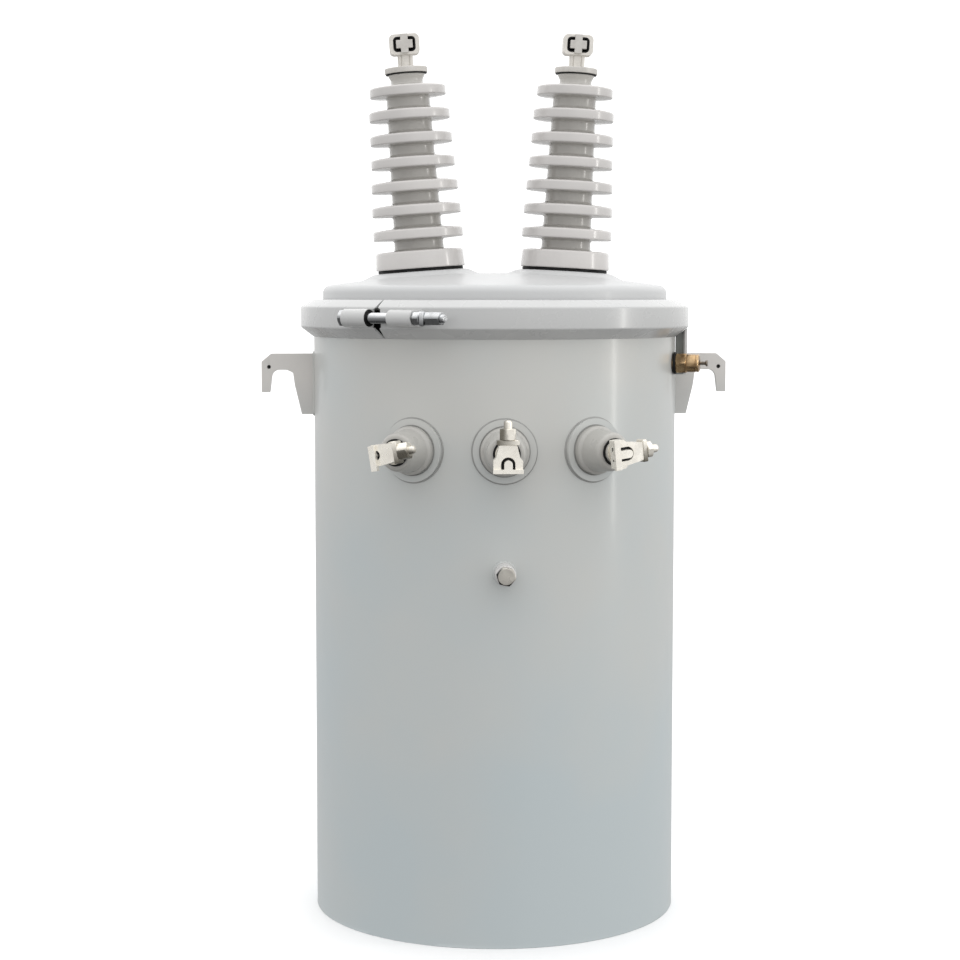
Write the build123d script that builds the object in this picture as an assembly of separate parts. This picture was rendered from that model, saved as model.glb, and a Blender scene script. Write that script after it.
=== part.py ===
from build123d import *
import math
import os

os.makedirs("parts", exist_ok=True)

# All sizes in millimetres, +Z up, front of the tank faces -Y, origin on the tank axis at its bottom rim.

# ---- tank ----
TANK_R = 210.0            # outer radius of the tank wall
TANK_WALL = 3.5           # wall thickness
RIM_Z = 698.0             # top of the wall, where the flange sits
BOTTOM_Z = 18.0           # underside of the bottom plate above the rim of the skirt
BOTTOM_T = 5.0            # bottom plate
FLANGE_T = 3.5            # flange welded on top of the wall
FLANGE_OVER = 4.0         # how far the flange stands out past the wall
FIT = 0.3                 # gap between curved faces that meet
# ---- cover ----
GASKET_T = 3.0            # gasket between flange and cover
GASKET_W = 8.0            # its width
COVER_T = 2.6             # cover sheet
COVER_BRIM = 1.5          # brim past the tank radius
COVER_SIDE_IN = 10.7      # raised side of the cover, inside the tank radius
COVER_SIDE_H = 17.5       # height of that side above the brim
COVER_ROUND = 10.0        # its rounded shoulder
COVER_CROWN = 15.6        # rise of the dome from shoulder to centre
COVER_FLAT_R = 6.0        # small flat at the centre of the dome
# ---- clamp ring ----
RING_T = 2.0              # ring sheet
RING_OUT = 15.0           # ring face past the tank radius
RING_LIP_W = 11.5         # flat top lip, from its inner edge to the bend
RING_SLOPE_W = 12.0       # width of the upper slope, from the bend to the face
RING_SLOPE_H = 8.0        # height of the upper slope
RING_FACE_H = 23.4        # height of the upright face
RING_FOOT_H = 11.0        # height of the lower slope
RING_SPLIT_AZ = -37.5     # where the ring is split, degrees from the front
RING_SPLIT_W = 24.0       # opening in the upright face
RING_SPLIT_LOW = 8.4      # opening at the top of the lower slope
RING_SPLIT_HIGH = 4.4     # opening at the foot of the upper slope
RING_SPLIT_TIP = 1.6      # opening at the edges
# ---- ring closure ----
BARREL_L = 32.0
BARREL_LEFT_R = 10.0
BARREL_LEFT_NEAR = 13.0    # from the middle of the closure to the near end of the left barrel
BARREL_LEFT_BORE = 8.3
BARREL_RIGHT_R = 9.2
BARREL_RIGHT_NEAR = 16.0
BARREL_RIGHT_BORE = 6.6
BARREL_SHIFT = 8.0        # middle of the closure to the right of the split
BARREL_OUT = 7.0          # barrel axis outside the ring face
BARREL_FOOT = 9.0         # how far its saddle reaches in past the face
RING_BOLT_R = 6.0         # plain shank
RING_THREAD_R = 4.6        # threaded end inside the right barrel and past it
RING_HEAD_L = 5.5
RING_HEAD_AF = 17.0
RING_NUT_AF = 13.5
RING_NUT_L = 9.0
RING_WASHER_R = 8.4
RING_WASHER_T = 2.0
RING_PLATE_A = 14.5
RING_PLATE_T = 5.5
RING_NUT2_L = 19.5
RING_TIP_L = 4.0
# ---- high-voltage bushings ----
HV_SIDES = {-1: (-85.7, -4.1), 1: (81.5, 3.2)}   # base centre from the tank axis and lean, degrees
HV_PAD_UP = 1.6           # pad face at the bushing axis above the crown of the cover
HV_PAD_R = 56.0           # top of the raised pad
HV_PAD_FOOT_R = 70.0      # foot of the raised pad
HV_PAD_H = 16.0
HV_HOLE_R = 29.0
HV_TAIL_R = 27.0
HV_TAIL_L = 22.0
HV_GASKET_T = 3.5
HV_GASKET_R = 49.3
HV_BASE_R = 51.8
HV_BASE_H = 20.5
HV_SHED_FIRST = 44.5      # first shed centre above the pad
HV_SHED_PITCH = 27.2
HV_SHED_R = (52.2, 51.6, 50.3, 48.6, 47.6, 46.8, 44.0)
HV_SHED_UP = 4.25         # top of the rim above the shed's centre
HV_SHED_DOWN = 6.6        # foot of the rim below it
HV_SHED_LOW_ROUND = 1.6   # its lower corner
HV_SHED_TOP_ROUND = 2.5   # its upper corner
HV_SHED_RISE = 2.5        # rise of the top from the rim to the core
HV_SHED_DROP = 1.2        # drop of the underside from the rim to the core
HV_CORE_LOW_R = 28.5
HV_CORE_HIGH_R = 24.5
HV_WAIST_R = 18.6         # narrowest part of the neck
HV_NECK_R = 21.8          # flared top of the neck
HV_NECK_UP = 18.7         # top of the porcelain above the last shed centre
HV_SEAL_T = 1.3
HV_CAP_R = 24.6
HV_CAP_T = 6.5
HV_STEM_W = 17.6
HV_STEM_D = 12.0
HV_STEM_H = 14.3
HV_STEM_GROOVE_X = 4.6    # grooves down the front of the stem
HV_STEM_GROOVE_W = 0.9
HV_CAGE_W = 34.6
HV_CAGE_H = 23.6
HV_CAGE_D = 20.0
HV_CAGE_BAR_W = 4.6
HV_CAGE_BAR_H = 3.2
HV_CAGE_ROUND = 5.5
HV_WINDOW_ROUND = 4.5
HV_CAGE_BACK = 5.0        # wall behind the window
HV_KEEP_W = 19.0          # arms of the cross
HV_KEEP_H = 9.4
HV_KEEP_BAR_W = 8.6       # upright of the cross
HV_KEEP_T = 3.0           # its thickness in front of the clamp
HV_KEEP_IN = 12.0         # how far the middle reaches into the window
HV_KEEP_SHORT = 1.6       # upright short of the clamp's lower edge
# ---- low-voltage bushings ----
LV_Z = 546.8
LV_AZ = 28.0              # outer pair, degrees either side of the front
LV_FACE = 2.5             # flat collar face past the tank radius
LV_COLLAR_R = 34.5
LV_BORE_R = 20.0
LV_TAIL_R = 19.0
LV_TAIL_L = 22.0
LV_BODY_R = 26.5
LV_BODY_STEP = 7.0
LV_MID_R = 23.5
LV_FRONT_R = 17.5
LV_BODY_L = 37.0
LV_SEAL_R = 14.8
LV_SEAL_T = 2.0
LV_STUD_R = 12.5
LV_STUD_T = 4.0
LV_NECK_R = 8.0
LV_NECK_L = 9.0
LV_YOKE_HEAD_W = 19.0     # across the head
LV_YOKE_MID_W = 25.0      # where the head meets the legs
LV_YOKE_LOW = -14.5
LV_YOKE_KNEE = -1.5       # height where the legs spread
LV_YOKE_D = 13.0
LV_TEE_IN = 3.0           # tongue inside the slot
LV_TONGUE_SIDE = 3.1      # slot beside the tongue
LV_TONGUE_GAP = 3.0       # slot round the tip of the tongue
LV_PLATE_W = 24.0         # washer plate under the nut
LV_PLATE_T = 5.2
LV_BOLT_R = 4.6
LV_NUT_AF = 16.5
LV_NUT_TURN = 22.0        # turn of the nut about the bolt
# turn about the stud, half width across the legs, half width and top of the slot, and top
LV_CLAMPS = {
    "left": (-80.0, 11.5, 5.5, -5.0, 11.2),
    "centre": (0.0, 15.5, 7.5, -1.4, 11.2),
    "right": (-84.0, 15.5, 7.5, 6.6, 19.2),
}
# cross bar on the tongue: its low and high edge, its two ends and its thickness
LV_TEES = {
    "left": (-15.5, -8.5, -10.5, 16.5, 5.0),
    "centre": (-18.5, -14.0, -16.0, 16.0, 5.0),
    "right": (-19.0, -11.5, -16.0, 16.0, 3.5),
}
# length of the nut, and tip of the bolt
LV_BOLTS = {"left": (12.0, 35.0), "centre": (12.0, 37.2), "right": (7.0, 41.4)}
# ---- earth stud ----
EARTH_Z = 415.3
EARTH_BOSS_R = 11.2
EARTH_BOSS_L = 27.0
EARTH_HEAD_AF = 19.0
EARTH_HEAD_L = 7.5
EARTH_HEAD_TURN = 48.0
EARTH_BOLT_R = 6.0
EARTH_BOLT_L = 20.0
# ---- pressure relief valve ----
RELIEF_DOWN = 30.0        # valve axis below the foot of the ring
RELIEF_AZ = 74.0
RELIEF_HOLE_R = 9.5
RELIEF_SHANK_R = 9.0
RELIEF_SHANK_IN = 12.0
RELIEF_WASHER_R = 12.6
RELIEF_WASHER_T = 3.2
RELIEF_GAP = 0.5
RELIEF_HEX_AF = 21.8
RELIEF_HEX_L = 12.5
RELIEF_BARREL_R = 10.3
RELIEF_BARREL_L = 14.0
RELIEF_STEM_R = 2.0
RELIEF_STEM_L = 9.5
RELIEF_KNOB_R = 3.6
RELIEF_KNOB_T = 2.4
# ---- lifting lugs ----
LUG_T = 8.0
LUG_DOWN = 20.0           # top edge below the foot of the ring
LUG_ROOT_W = 14.5         # width of the leg's foot outside the wall
LUG_LEG_SLANT = 10.0      # how much wider the leg is at the arch
LUG_ARCH_W = 26.5         # width of the arch over the sling
LUG_HOOK_W = 10.0         # width of the hook's outer leg
LUG_BRIDGE_H = 19.0       # height of the bridge over the arch
LUG_HOOK_H = 26.0         # depth of the arch
LUG_LEG_H = 51.5          # height of the leg below the arch
LUG_CUT_W = 11.2          # cut outer corner, across
LUG_CUT_H = 9.4           # and down
LUG_SHOULDER_W = 7.0      # cut corner of the arch on the leg's side, across
LUG_SHOULDER_H = 3.4      # and down
LUG_HOLE_R = 2.2
LUG_HOLE_DEEP = 6.0       # blind, from the front
# ---- bracket under the clamp ring, beside the right lug ----
BRACKET_AZ = 82.0
BRACKET_W = 13.0
BRACKET_T = 3.2
BRACKET_IN = 1.2          # outer face inside the ring face
BRACKET_DOWN = 44.0       # foot of the bracket below the foot of the ring
# ---- support lugs on the back ----
SUPPORT_Z = (548.0, 262.0)   # centre heights
SUPPORT_W = 76.0
SUPPORT_H = 84.0
SUPPORT_OUT = 62.0        # mounting face behind the tank wall
SUPPORT_T = 6.0
SUPPORT_SLOT_W = 19.0
SUPPORT_SLOT_H = 40.0

TANK_IN = TANK_R - TANK_WALL
FLANGE_TOP = RIM_Z + FLANGE_T
BRIM_Z = FLANGE_TOP + GASKET_T
BRIM_TOP = BRIM_Z + COVER_T
COVER_SIDE_R = TANK_R - COVER_SIDE_IN
SHOULDER_Z = BRIM_TOP + COVER_SIDE_H
CROWN_Z = SHOULDER_Z + COVER_CROWN
HV_PAD_Z = CROWN_Z + HV_PAD_UP
HV_TOP = HV_SHED_FIRST + (len(HV_SHED_R) - 1) * HV_SHED_PITCH + HV_NECK_UP
RING_TOP = BRIM_TOP + FIT + RING_T
RING_R = TANK_R + RING_OUT
RING_BEND_R = RING_R - RING_SLOPE_W
RING_LIP_R = RING_BEND_R - RING_LIP_W
FACE_HIGH = RING_TOP - RING_SLOPE_H
FACE_LOW = FACE_HIGH - RING_FACE_H
RING_LOW = FACE_LOW - RING_FOOT_H
FACE_MID = (FACE_HIGH + FACE_LOW) / 2
RELIEF_Z = RING_LOW - RELIEF_DOWN
LUG_TOP_Z = RING_LOW - LUG_DOWN
LUG_ARCH_Z = LUG_TOP_Z - LUG_BRIDGE_H
LUG_HOOK_Z = LUG_ARCH_Z - LUG_HOOK_H
LUG_LEG_Z = LUG_ARCH_Z - LUG_LEG_H
LUG_ARCH_IN = TANK_R + LUG_ROOT_W + LUG_LEG_SLANT
LUG_ARCH_OUT = LUG_ARCH_IN + LUG_ARCH_W
LUG_OUT = LUG_ARCH_OUT + LUG_HOOK_W
LV_FACE_R = TANK_R + LV_FACE


# ---- helpers ----
def outward(az, r, z):
    """Plane on the wall at azimuth az (0 front, + to the right): x right, y up, z outward."""
    a = math.radians(az)
    spot = (r * math.sin(a), -r * math.cos(a), z)
    right = (math.cos(a), math.sin(a), 0)
    out = (math.sin(a), -math.cos(a), 0)
    return Plane(origin=spot, x_dir=right, z_dir=out)


def rod(r, low, high):
    """Cylinder on the local z axis from low to high."""
    return Pos(0, 0, low) * Cylinder(r, high - low, align=(Align.CENTER, Align.CENTER, Align.MIN))


def block(x0, x1, y0, y1, z0, z1):
    """Box between two corners."""
    size = Box(x1 - x0, y1 - y0, z1 - z0, align=(Align.MIN, Align.MIN, Align.MIN))
    return Pos(x0, y0, z0) * size


def hexagon(af, low, high):
    """Hexagonal prism with its flats af apart, on the local z axis."""
    face = RegularPolygon(af / 2, 6, major_radius=False)
    return Pos(0, 0, low) * extrude(face, high - low)


def rounded(points, radii):
    """Closed outline through the points, each corner rounded by its own radius."""
    edges = []
    ends = []
    n = len(points)
    for i in range(n):
        p = Vector(*points[i - 1])
        q = Vector(*points[i])
        s = Vector(*points[(i + 1) % n])
        a = (p - q).normalized()
        b = (s - q).normalized()
        r = radii[i]
        if r <= 0:
            ends.append((q, q, None))
            continue
        half = math.acos(max(-1.0, min(1.0, a.dot(b)))) / 2
        cut = r / math.tan(half)
        mid = (a + b).normalized()
        centre = q + mid * (r / math.sin(half))
        ends.append((q + a * cut, q + b * cut, centre - mid * r))
    for i in range(n):
        start, stop, via = ends[i]
        if via is not None:
            edges.append(ThreePointArc(start, via, stop))
        nxt = ends[(i + 1) % n][0]
        if (nxt - stop).length > 1e-6:
            edges.append(Line(stop, nxt))
    return make_face(Wire(edges))


def turned(points, radii):
    """Solid of revolution about Z from (radius, height) points with rounded corners."""
    face = rounded(points, radii)
    return revolve(Plane.XZ * face, Axis.Z)


def ring(r_in, r_out, low, high):
    return rod(r_out, low, high) - rod(r_in, low - 1, high + 1)


def offset_path(points, d):
    """The open path moved d to its left, corners mitred."""
    out = []
    n = len(points)
    for i in range(n):
        q = Vector(*points[i])
        dirs = []
        if i > 0:
            dirs.append((q - Vector(*points[i - 1])).normalized())
        if i < n - 1:
            dirs.append((Vector(*points[i + 1]) - q).normalized())
        normals = [Vector(-v.Y, v.X) for v in dirs]
        if len(normals) == 1:
            out.append(q + normals[0] * d)
            continue
        mid = (normals[0] + normals[1]).normalized()
        out.append(q + mid * (d / mid.dot(normals[0])))
    return [(v.X, v.Y) for v in out]


def save(shape, name):
    export_step(shape, "parts/" + name + ".step")


# ---- tank ----
def tank_wall():
    shell = ring(TANK_IN, TANK_R, 0, RIM_Z)
    for az in (-LV_AZ, 0, LV_AZ):
        shell = shell - outward(az, TANK_IN - TANK_WALL, LV_Z) * rod(LV_BORE_R, 0, TANK_WALL * 4)
    side = outward(RELIEF_AZ, TANK_IN - TANK_WALL, RELIEF_Z)
    shell = shell - side * rod(RELIEF_HOLE_R, 0, TANK_WALL * 4)
    return shell


def tank_bottom():
    return rod(TANK_IN - FIT, BOTTOM_Z, BOTTOM_Z + BOTTOM_T)


def tank_flange():
    return ring(TANK_IN, TANK_R + FLANGE_OVER, RIM_Z, FLANGE_TOP)


# ---- cover ----
def hv_frame(side):
    """Bushing frame on the pad face, leaning outward."""
    x, lean = HV_SIDES[side]
    return Location((x, 0, HV_PAD_Z), (0, lean, 0))


def cover_form(inset):
    """Dome with its two pads, every face moved in by inset, down to the brim underside."""
    r = COVER_SIDE_R - inset
    top = CROWN_Z - inset
    edge = SHOULDER_Z - inset
    low = BRIM_Z - (1.0 if inset else 0.0)
    mid = (r / 2, top - (top - edge) / 4)
    edges = [
        Line((0, low), (r, low)),
        Line((r, low), (r, edge)),
        ThreePointArc((r, edge), mid, (COVER_FLAT_R, top)),
        Line((COVER_FLAT_R, top), (0, top)),
        Line((0, top), (0, low)),
    ]
    face = make_face(Wire(edges))
    corner = face.vertices().sort_by_distance(Vector(r, edge))[0]
    face = fillet(corner, COVER_ROUND - inset)
    form = revolve(Plane.XZ * face, Axis.Z)
    for side in (-1, 1):
        pad = Cone(HV_PAD_FOOT_R - inset, HV_PAD_R - inset, HV_PAD_H)
        form = form + hv_frame(side) * Pos(0, 0, -HV_PAD_H / 2 - inset) * pad
    return form


def cover():
    shell = cover_form(0.0) + rod(TANK_R + COVER_BRIM, BRIM_Z, BRIM_TOP)
    shell = shell - cover_form(COVER_T)
    for side in (-1, 1):
        shell = shell - hv_frame(side) * rod(HV_HOLE_R, -HV_PAD_H * 2, 5)
    return shell


def cover_gasket():
    r = TANK_R + COVER_BRIM - 1.0
    return ring(r - GASKET_W, r, FLANGE_TOP, BRIM_Z)


# ---- clamp ring ----
def clamp_ring():
    path = [
        (TANK_R + FIT * 2, RING_LOW),
        (RING_R, FACE_LOW),
        (RING_R, FACE_HIGH),
        (RING_BEND_R, RING_TOP),
        (RING_LIP_R, RING_TOP),
    ]
    inner = offset_path(path, RING_T)
    inner[0] = (path[0][0], inner[0][1] + (inner[1][1] - inner[0][1]) * 0.1)
    points = path + inner[::-1]
    face = make_face(Polyline(*points, close=True))
    band = revolve(Plane.XZ * face, Axis.Z)
    half = RING_SPLIT_W / 2
    tip = RING_SPLIT_TIP / 2
    low = RING_SPLIT_LOW / 2
    high = RING_SPLIT_HIGH / 2
    rise = RING_SLOPE_H / 2
    notch = Polyline(
        (-tip, RING_LOW - 5),
        (tip, RING_LOW - 5),
        (tip, RING_LOW + 2),
        (low, FACE_LOW + 1),
        (half, FACE_LOW + rise),
        (half, FACE_HIGH - rise),
        (high, FACE_HIGH - 1),
        (tip, FACE_HIGH + rise),
        (tip, RING_TOP + 5),
        (-tip, RING_TOP + 5),
        (-tip, FACE_HIGH + rise),
        (-high, FACE_HIGH - 1),
        (-half, FACE_HIGH - rise),
        (-half, FACE_LOW + rise),
        (-low, FACE_LOW + 1),
        (-tip, RING_LOW + 2),
        close=True,
    )
    cut = extrude(make_face(notch), 60)
    return band - outward(RING_SPLIT_AZ, RING_R - 40, 0) * cut


def along_ring():
    """Frame of the closing bolt: z runs to the right along it, from the middle of the closure."""
    a = math.radians(RING_SPLIT_AZ)
    r = RING_R + BARREL_OUT
    right = (math.cos(a), math.sin(a), 0)
    out = (math.sin(a), -math.cos(a), 0)
    spot = (r * out[0] + BARREL_SHIFT * right[0], r * out[1] + BARREL_SHIFT * right[1], FACE_MID)
    return Plane(origin=spot, x_dir=out, z_dir=right)


def ring_barrel(low, high, r, bore):
    """Barrel from low to high along the closing bolt, with its saddle down to the ring's face."""
    tube = rod(r, low, high) + block(-BARREL_OUT - BARREL_FOOT, 0, -r, r, low, high)
    tube = along_ring() * tube - rod(RING_R + FIT, FACE_LOW - 20, FACE_HIGH + 20)
    return tube - along_ring() * rod(bore, low - 5, high + 5)


def ring_bolt():
    head_at = -BARREL_LEFT_NEAR - BARREL_L
    end = BARREL_RIGHT_NEAR + BARREL_L
    tip = end + RING_NUT_L + RING_WASHER_T + RING_PLATE_T + RING_NUT2_L + RING_TIP_L
    shank = rod(RING_BOLT_R, head_at - 1, BARREL_RIGHT_NEAR + 5) + rod(RING_THREAD_R, BARREL_RIGHT_NEAR, tip)
    head = hexagon(RING_HEAD_AF, head_at - RING_HEAD_L, head_at)
    return along_ring() * (shank + head)


def ring_nuts():
    start = BARREL_RIGHT_NEAR + BARREL_L
    at = start
    first = hexagon(RING_NUT_AF, at, at + RING_NUT_L)
    at = at + RING_NUT_L
    washer = rod(RING_WASHER_R, at, at + RING_WASHER_T)
    at = at + RING_WASHER_T
    h = RING_PLATE_A / 2
    plate = block(-h, h, -h, h, at, at + RING_PLATE_T)
    at = at + RING_PLATE_T
    second = hexagon(RING_NUT_AF, at, at + RING_NUT2_L)
    stack = first + washer + plate + second
    return along_ring() * (stack - rod(RING_THREAD_R + FIT, start - 5, at + RING_NUT2_L + 5))


# ---- high-voltage bushings ----
def core_r(h):
    """Porcelain core radius at height h above the pad."""
    low = HV_GASKET_T + HV_BASE_H
    high = HV_TOP - 8
    t = (h - low) / (high - low)
    return HV_CORE_LOW_R + (HV_CORE_HIGH_R - HV_CORE_LOW_R) * t


def hv_bushing():
    points = [
        (0, -HV_TAIL_L),
        (HV_TAIL_R, -HV_TAIL_L),
        (HV_TAIL_R, HV_GASKET_T),
        (HV_BASE_R, HV_GASKET_T),
        (HV_BASE_R - 1.2, HV_GASKET_T + HV_BASE_H),
    ]
    radii = [0, 2, 0, 1.5, 3]
    h = HV_GASKET_T + HV_BASE_H
    points.append((core_r(h) + 0.5, h + 0.7))
    radii.append(3)
    last = len(HV_SHED_R) - 1
    for i, r in enumerate(HV_SHED_R):
        c = HV_SHED_FIRST + i * HV_SHED_PITCH
        low = c - HV_SHED_DOWN
        high = c + HV_SHED_UP
        points.append((core_r(low), low - HV_SHED_DROP))
        points.append((r, low))
        points.append((r, high))
        radii.extend([2.5, HV_SHED_LOW_ROUND, HV_SHED_TOP_ROUND])
        if i < last:
            points.append((core_r(high), high + HV_SHED_RISE))
            radii.append(3.5)
    neck = high + HV_SHED_RISE
    points.append((HV_WAIST_R, neck))
    points.append((HV_WAIST_R, HV_TOP - 6))
    points.append((HV_NECK_R, HV_TOP))
    points.append((0, HV_TOP))
    radii.extend([3, 6, 0.6, 0])
    return turned(points, radii)


def hv_gasket():
    return ring(HV_TAIL_R + FIT, HV_GASKET_R, 0, HV_GASKET_T)


def hv_seal():
    return rod(HV_CAP_R - 0.8, HV_TOP, HV_TOP + HV_SEAL_T)


def hv_cap():
    low = HV_TOP + HV_SEAL_T
    high = low + HV_CAP_T
    points = [(0, low), (HV_CAP_R, low), (HV_CAP_R, high), (0, high)]
    return turned(points, [0, 0.8, 1.2, 0])


def cage_low():
    """Height of the clamp's lower edge above the pad."""
    return HV_TOP + HV_SEAL_T + HV_CAP_T + HV_STEM_H


def hv_terminal():
    low = HV_TOP + HV_SEAL_T + HV_CAP_T
    base = cage_low()
    w = HV_STEM_W / 2
    d = HV_STEM_D / 2
    stem = block(-w, w, -d, d, low, base + 1)
    stem = fillet(stem.edges().filter_by(Axis.Z), 2.5)
    g = HV_STEM_GROOVE_W / 2
    for x in (-HV_STEM_GROOVE_X, HV_STEM_GROOVE_X):
        stem = stem - block(x - g, x + g, -d - 1, -d + 1, low - 1, base - 1)
    outer = RectangleRounded(HV_CAGE_W, HV_CAGE_H, HV_CAGE_ROUND)
    w = HV_CAGE_W - 2 * HV_CAGE_BAR_W
    h = HV_CAGE_H - 2 * HV_CAGE_BAR_H
    inner = RectangleRounded(w, h, HV_WINDOW_ROUND)
    frame = extrude(Plane.XZ * outer, HV_CAGE_D / 2, both=True)
    pocket = extrude(Plane.XZ * inner, HV_CAGE_D, both=True)
    frame = frame - Pos(0, -HV_CAGE_D / 2 - HV_CAGE_BACK, 0) * pocket
    return stem + Pos(0, 0, base + HV_CAGE_H / 2) * frame


def hv_keeper():
    """Cross-shaped keeper: a plate on the clamp's face with its middle reaching into the window."""
    low = cage_low()
    mid = low + HV_CAGE_H / 2
    face = -HV_CAGE_D / 2
    w = HV_KEEP_W / 2
    h = HV_KEEP_H / 2
    b = HV_KEEP_BAR_W / 2
    arms = block(-w, w, face - HV_KEEP_T, face + HV_KEEP_IN, mid - h, mid + h)
    bar = block(-b, b, face - HV_KEEP_T, face, low + HV_KEEP_SHORT, low + HV_CAGE_H)
    return arms + bar


# ---- low-voltage bushings ----
def lv_collar(az):
    disc = outward(az, TANK_R - 20, LV_Z) * rod(LV_COLLAR_R, 0, 20 + LV_FACE)
    disc = disc - rod(TANK_R + FIT, LV_Z - 60, LV_Z + 60)
    return disc - outward(az, TANK_R - 30, LV_Z) * rod(LV_BORE_R, 0, 60)


def lv_bushing():
    points = [
        (0, -LV_TAIL_L),
        (LV_TAIL_R, -LV_TAIL_L),
        (LV_TAIL_R, 0),
        (LV_BODY_R, 0),
        (LV_BODY_R, LV_BODY_STEP),
        (LV_MID_R, LV_BODY_STEP + 2),
        (LV_FRONT_R + 3, LV_BODY_L),
        (0, LV_BODY_L),
    ]
    return turned(points, [0, 2, 0, 1, 3, 2, 5, 0])


def lv_seal():
    return rod(LV_SEAL_R, LV_BODY_L, LV_BODY_L + LV_SEAL_T)


def lv_yoke_back():
    """Distance from the bushing's foot to the back of the yoke."""
    return LV_BODY_L + LV_SEAL_T + LV_STUD_T + LV_NECK_L - 1


def lv_terminal(word):
    """Stud, neck and yoke of one clamp, bolt side up."""
    w, s, top, high = LV_CLAMPS[word][1:]
    z = LV_BODY_L + LV_SEAL_T
    stud = rod(LV_STUD_R, z, z + LV_STUD_T)
    neck = rod(LV_NECK_R, z, z + LV_STUD_T + LV_NECK_L)
    back = lv_yoke_back()
    front = back + LV_YOKE_D
    m = min(LV_YOKE_MID_W / 2, w - 0.5)
    t = LV_YOKE_HEAD_W / 2
    knee = LV_YOKE_KNEE
    points = [
        (-w, LV_YOKE_LOW),
        (w, LV_YOKE_LOW),
        (w, knee - 3.5),
        (m, knee),
        (t, high),
        (-t, high),
        (-m, knee),
        (-w, knee - 3.5),
    ]
    yoke = Pos(0, 0, back) * extrude(rounded(points, [1, 1, 2, 2.5, 2, 2, 2.5, 2]), LV_YOKE_D)
    slot = block(-s, s, LV_YOKE_LOW - 1, top - s, back + 4, front + 1)
    arch = Pos(0, top - s, 0) * rod(s, back + 4, front + 1)
    yoke = yoke - slot - arch
    hole = rod(LV_BOLT_R + FIT, top - 3.6, 40)
    bolt = Pos(0, 0, (back + front) / 2 + 1) * Rot(-90, 0, 0) * hole
    return stud + neck + (yoke - bolt)


def lv_tee(word):
    """The sliding tongue with its cross bar against the yoke."""
    s, slot_top = LV_CLAMPS[word][2:4]
    low, high, left, right, thick = LV_TEES[word]
    front = lv_yoke_back() + LV_YOKE_D
    w = s - LV_TONGUE_SIDE
    top = slot_top - LV_TONGUE_GAP - w
    tongue = block(-w, w, low, top, front - LV_TEE_IN, front + thick)
    tip = Pos(0, top, 0) * rod(w, front - LV_TEE_IN, front + thick)
    bar = block(left, right, low, high, front, front + thick)
    return tongue + tip + bar


def lv_bolt(word):
    """Bolt, nut and washer plate of one clamp."""
    length, tip = LV_BOLTS[word]
    slot_top, high = LV_CLAMPS[word][3:]
    z = lv_yoke_back() + LV_YOKE_D / 2 + 1
    shaft = rod(LV_BOLT_R, slot_top, tip)
    low = high + LV_PLATE_T
    nut = Rot(0, 0, LV_NUT_TURN) * hexagon(LV_NUT_AF, low, low + length)
    w = LV_PLATE_W / 2
    d = LV_YOKE_D / 2
    plate = block(-w, w, -d, d, high, low)
    return Pos(0, 0, z) * Rot(-90, 0, 0) * (shaft + nut + plate)


# ---- earth stud ----
def earth_boss():
    boss = outward(0, TANK_R - 10, EARTH_Z) * rod(EARTH_BOSS_R, 0, 10 + EARTH_BOSS_L)
    boss = boss - rod(TANK_R + FIT, EARTH_Z - 40, EARTH_Z + 40)
    face = outward(0, TANK_R + EARTH_BOSS_L, EARTH_Z)
    return boss - face * rod(EARTH_BOLT_R + FIT, -EARTH_BOLT_L - 1, 1)


def earth_bolt():
    shank = rod(EARTH_BOLT_R, -EARTH_BOLT_L, 1)
    head = Rot(0, 0, EARTH_HEAD_TURN) * hexagon(EARTH_HEAD_AF, 0, EARTH_HEAD_L)
    return outward(0, TANK_R + EARTH_BOSS_L, EARTH_Z) * (shank + head)


# ---- pressure relief valve ----
def relief_frame():
    return outward(RELIEF_AZ, TANK_R + RELIEF_GAP, RELIEF_Z)


def relief_washer():
    return relief_frame() * ring(RELIEF_SHANK_R + FIT, RELIEF_WASHER_R, 0, RELIEF_WASHER_T)


def relief_valve():
    shank = rod(RELIEF_SHANK_R, -RELIEF_SHANK_IN, RELIEF_WASHER_T + 1)
    a = RELIEF_WASHER_T
    nut = hexagon(RELIEF_HEX_AF, a, a + RELIEF_HEX_L)
    body = rod(RELIEF_BARREL_R, a, a + RELIEF_HEX_L + RELIEF_BARREL_L)
    return relief_frame() * (shank + nut + body)


def relief_pull():
    a = RELIEF_WASHER_T + RELIEF_HEX_L + RELIEF_BARREL_L
    stem = rod(RELIEF_STEM_R, a, a + RELIEF_STEM_L)
    knob = rod(RELIEF_KNOB_R, a + RELIEF_STEM_L - RELIEF_KNOB_T, a + RELIEF_STEM_L)
    return relief_frame() * (stem + knob)


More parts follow.
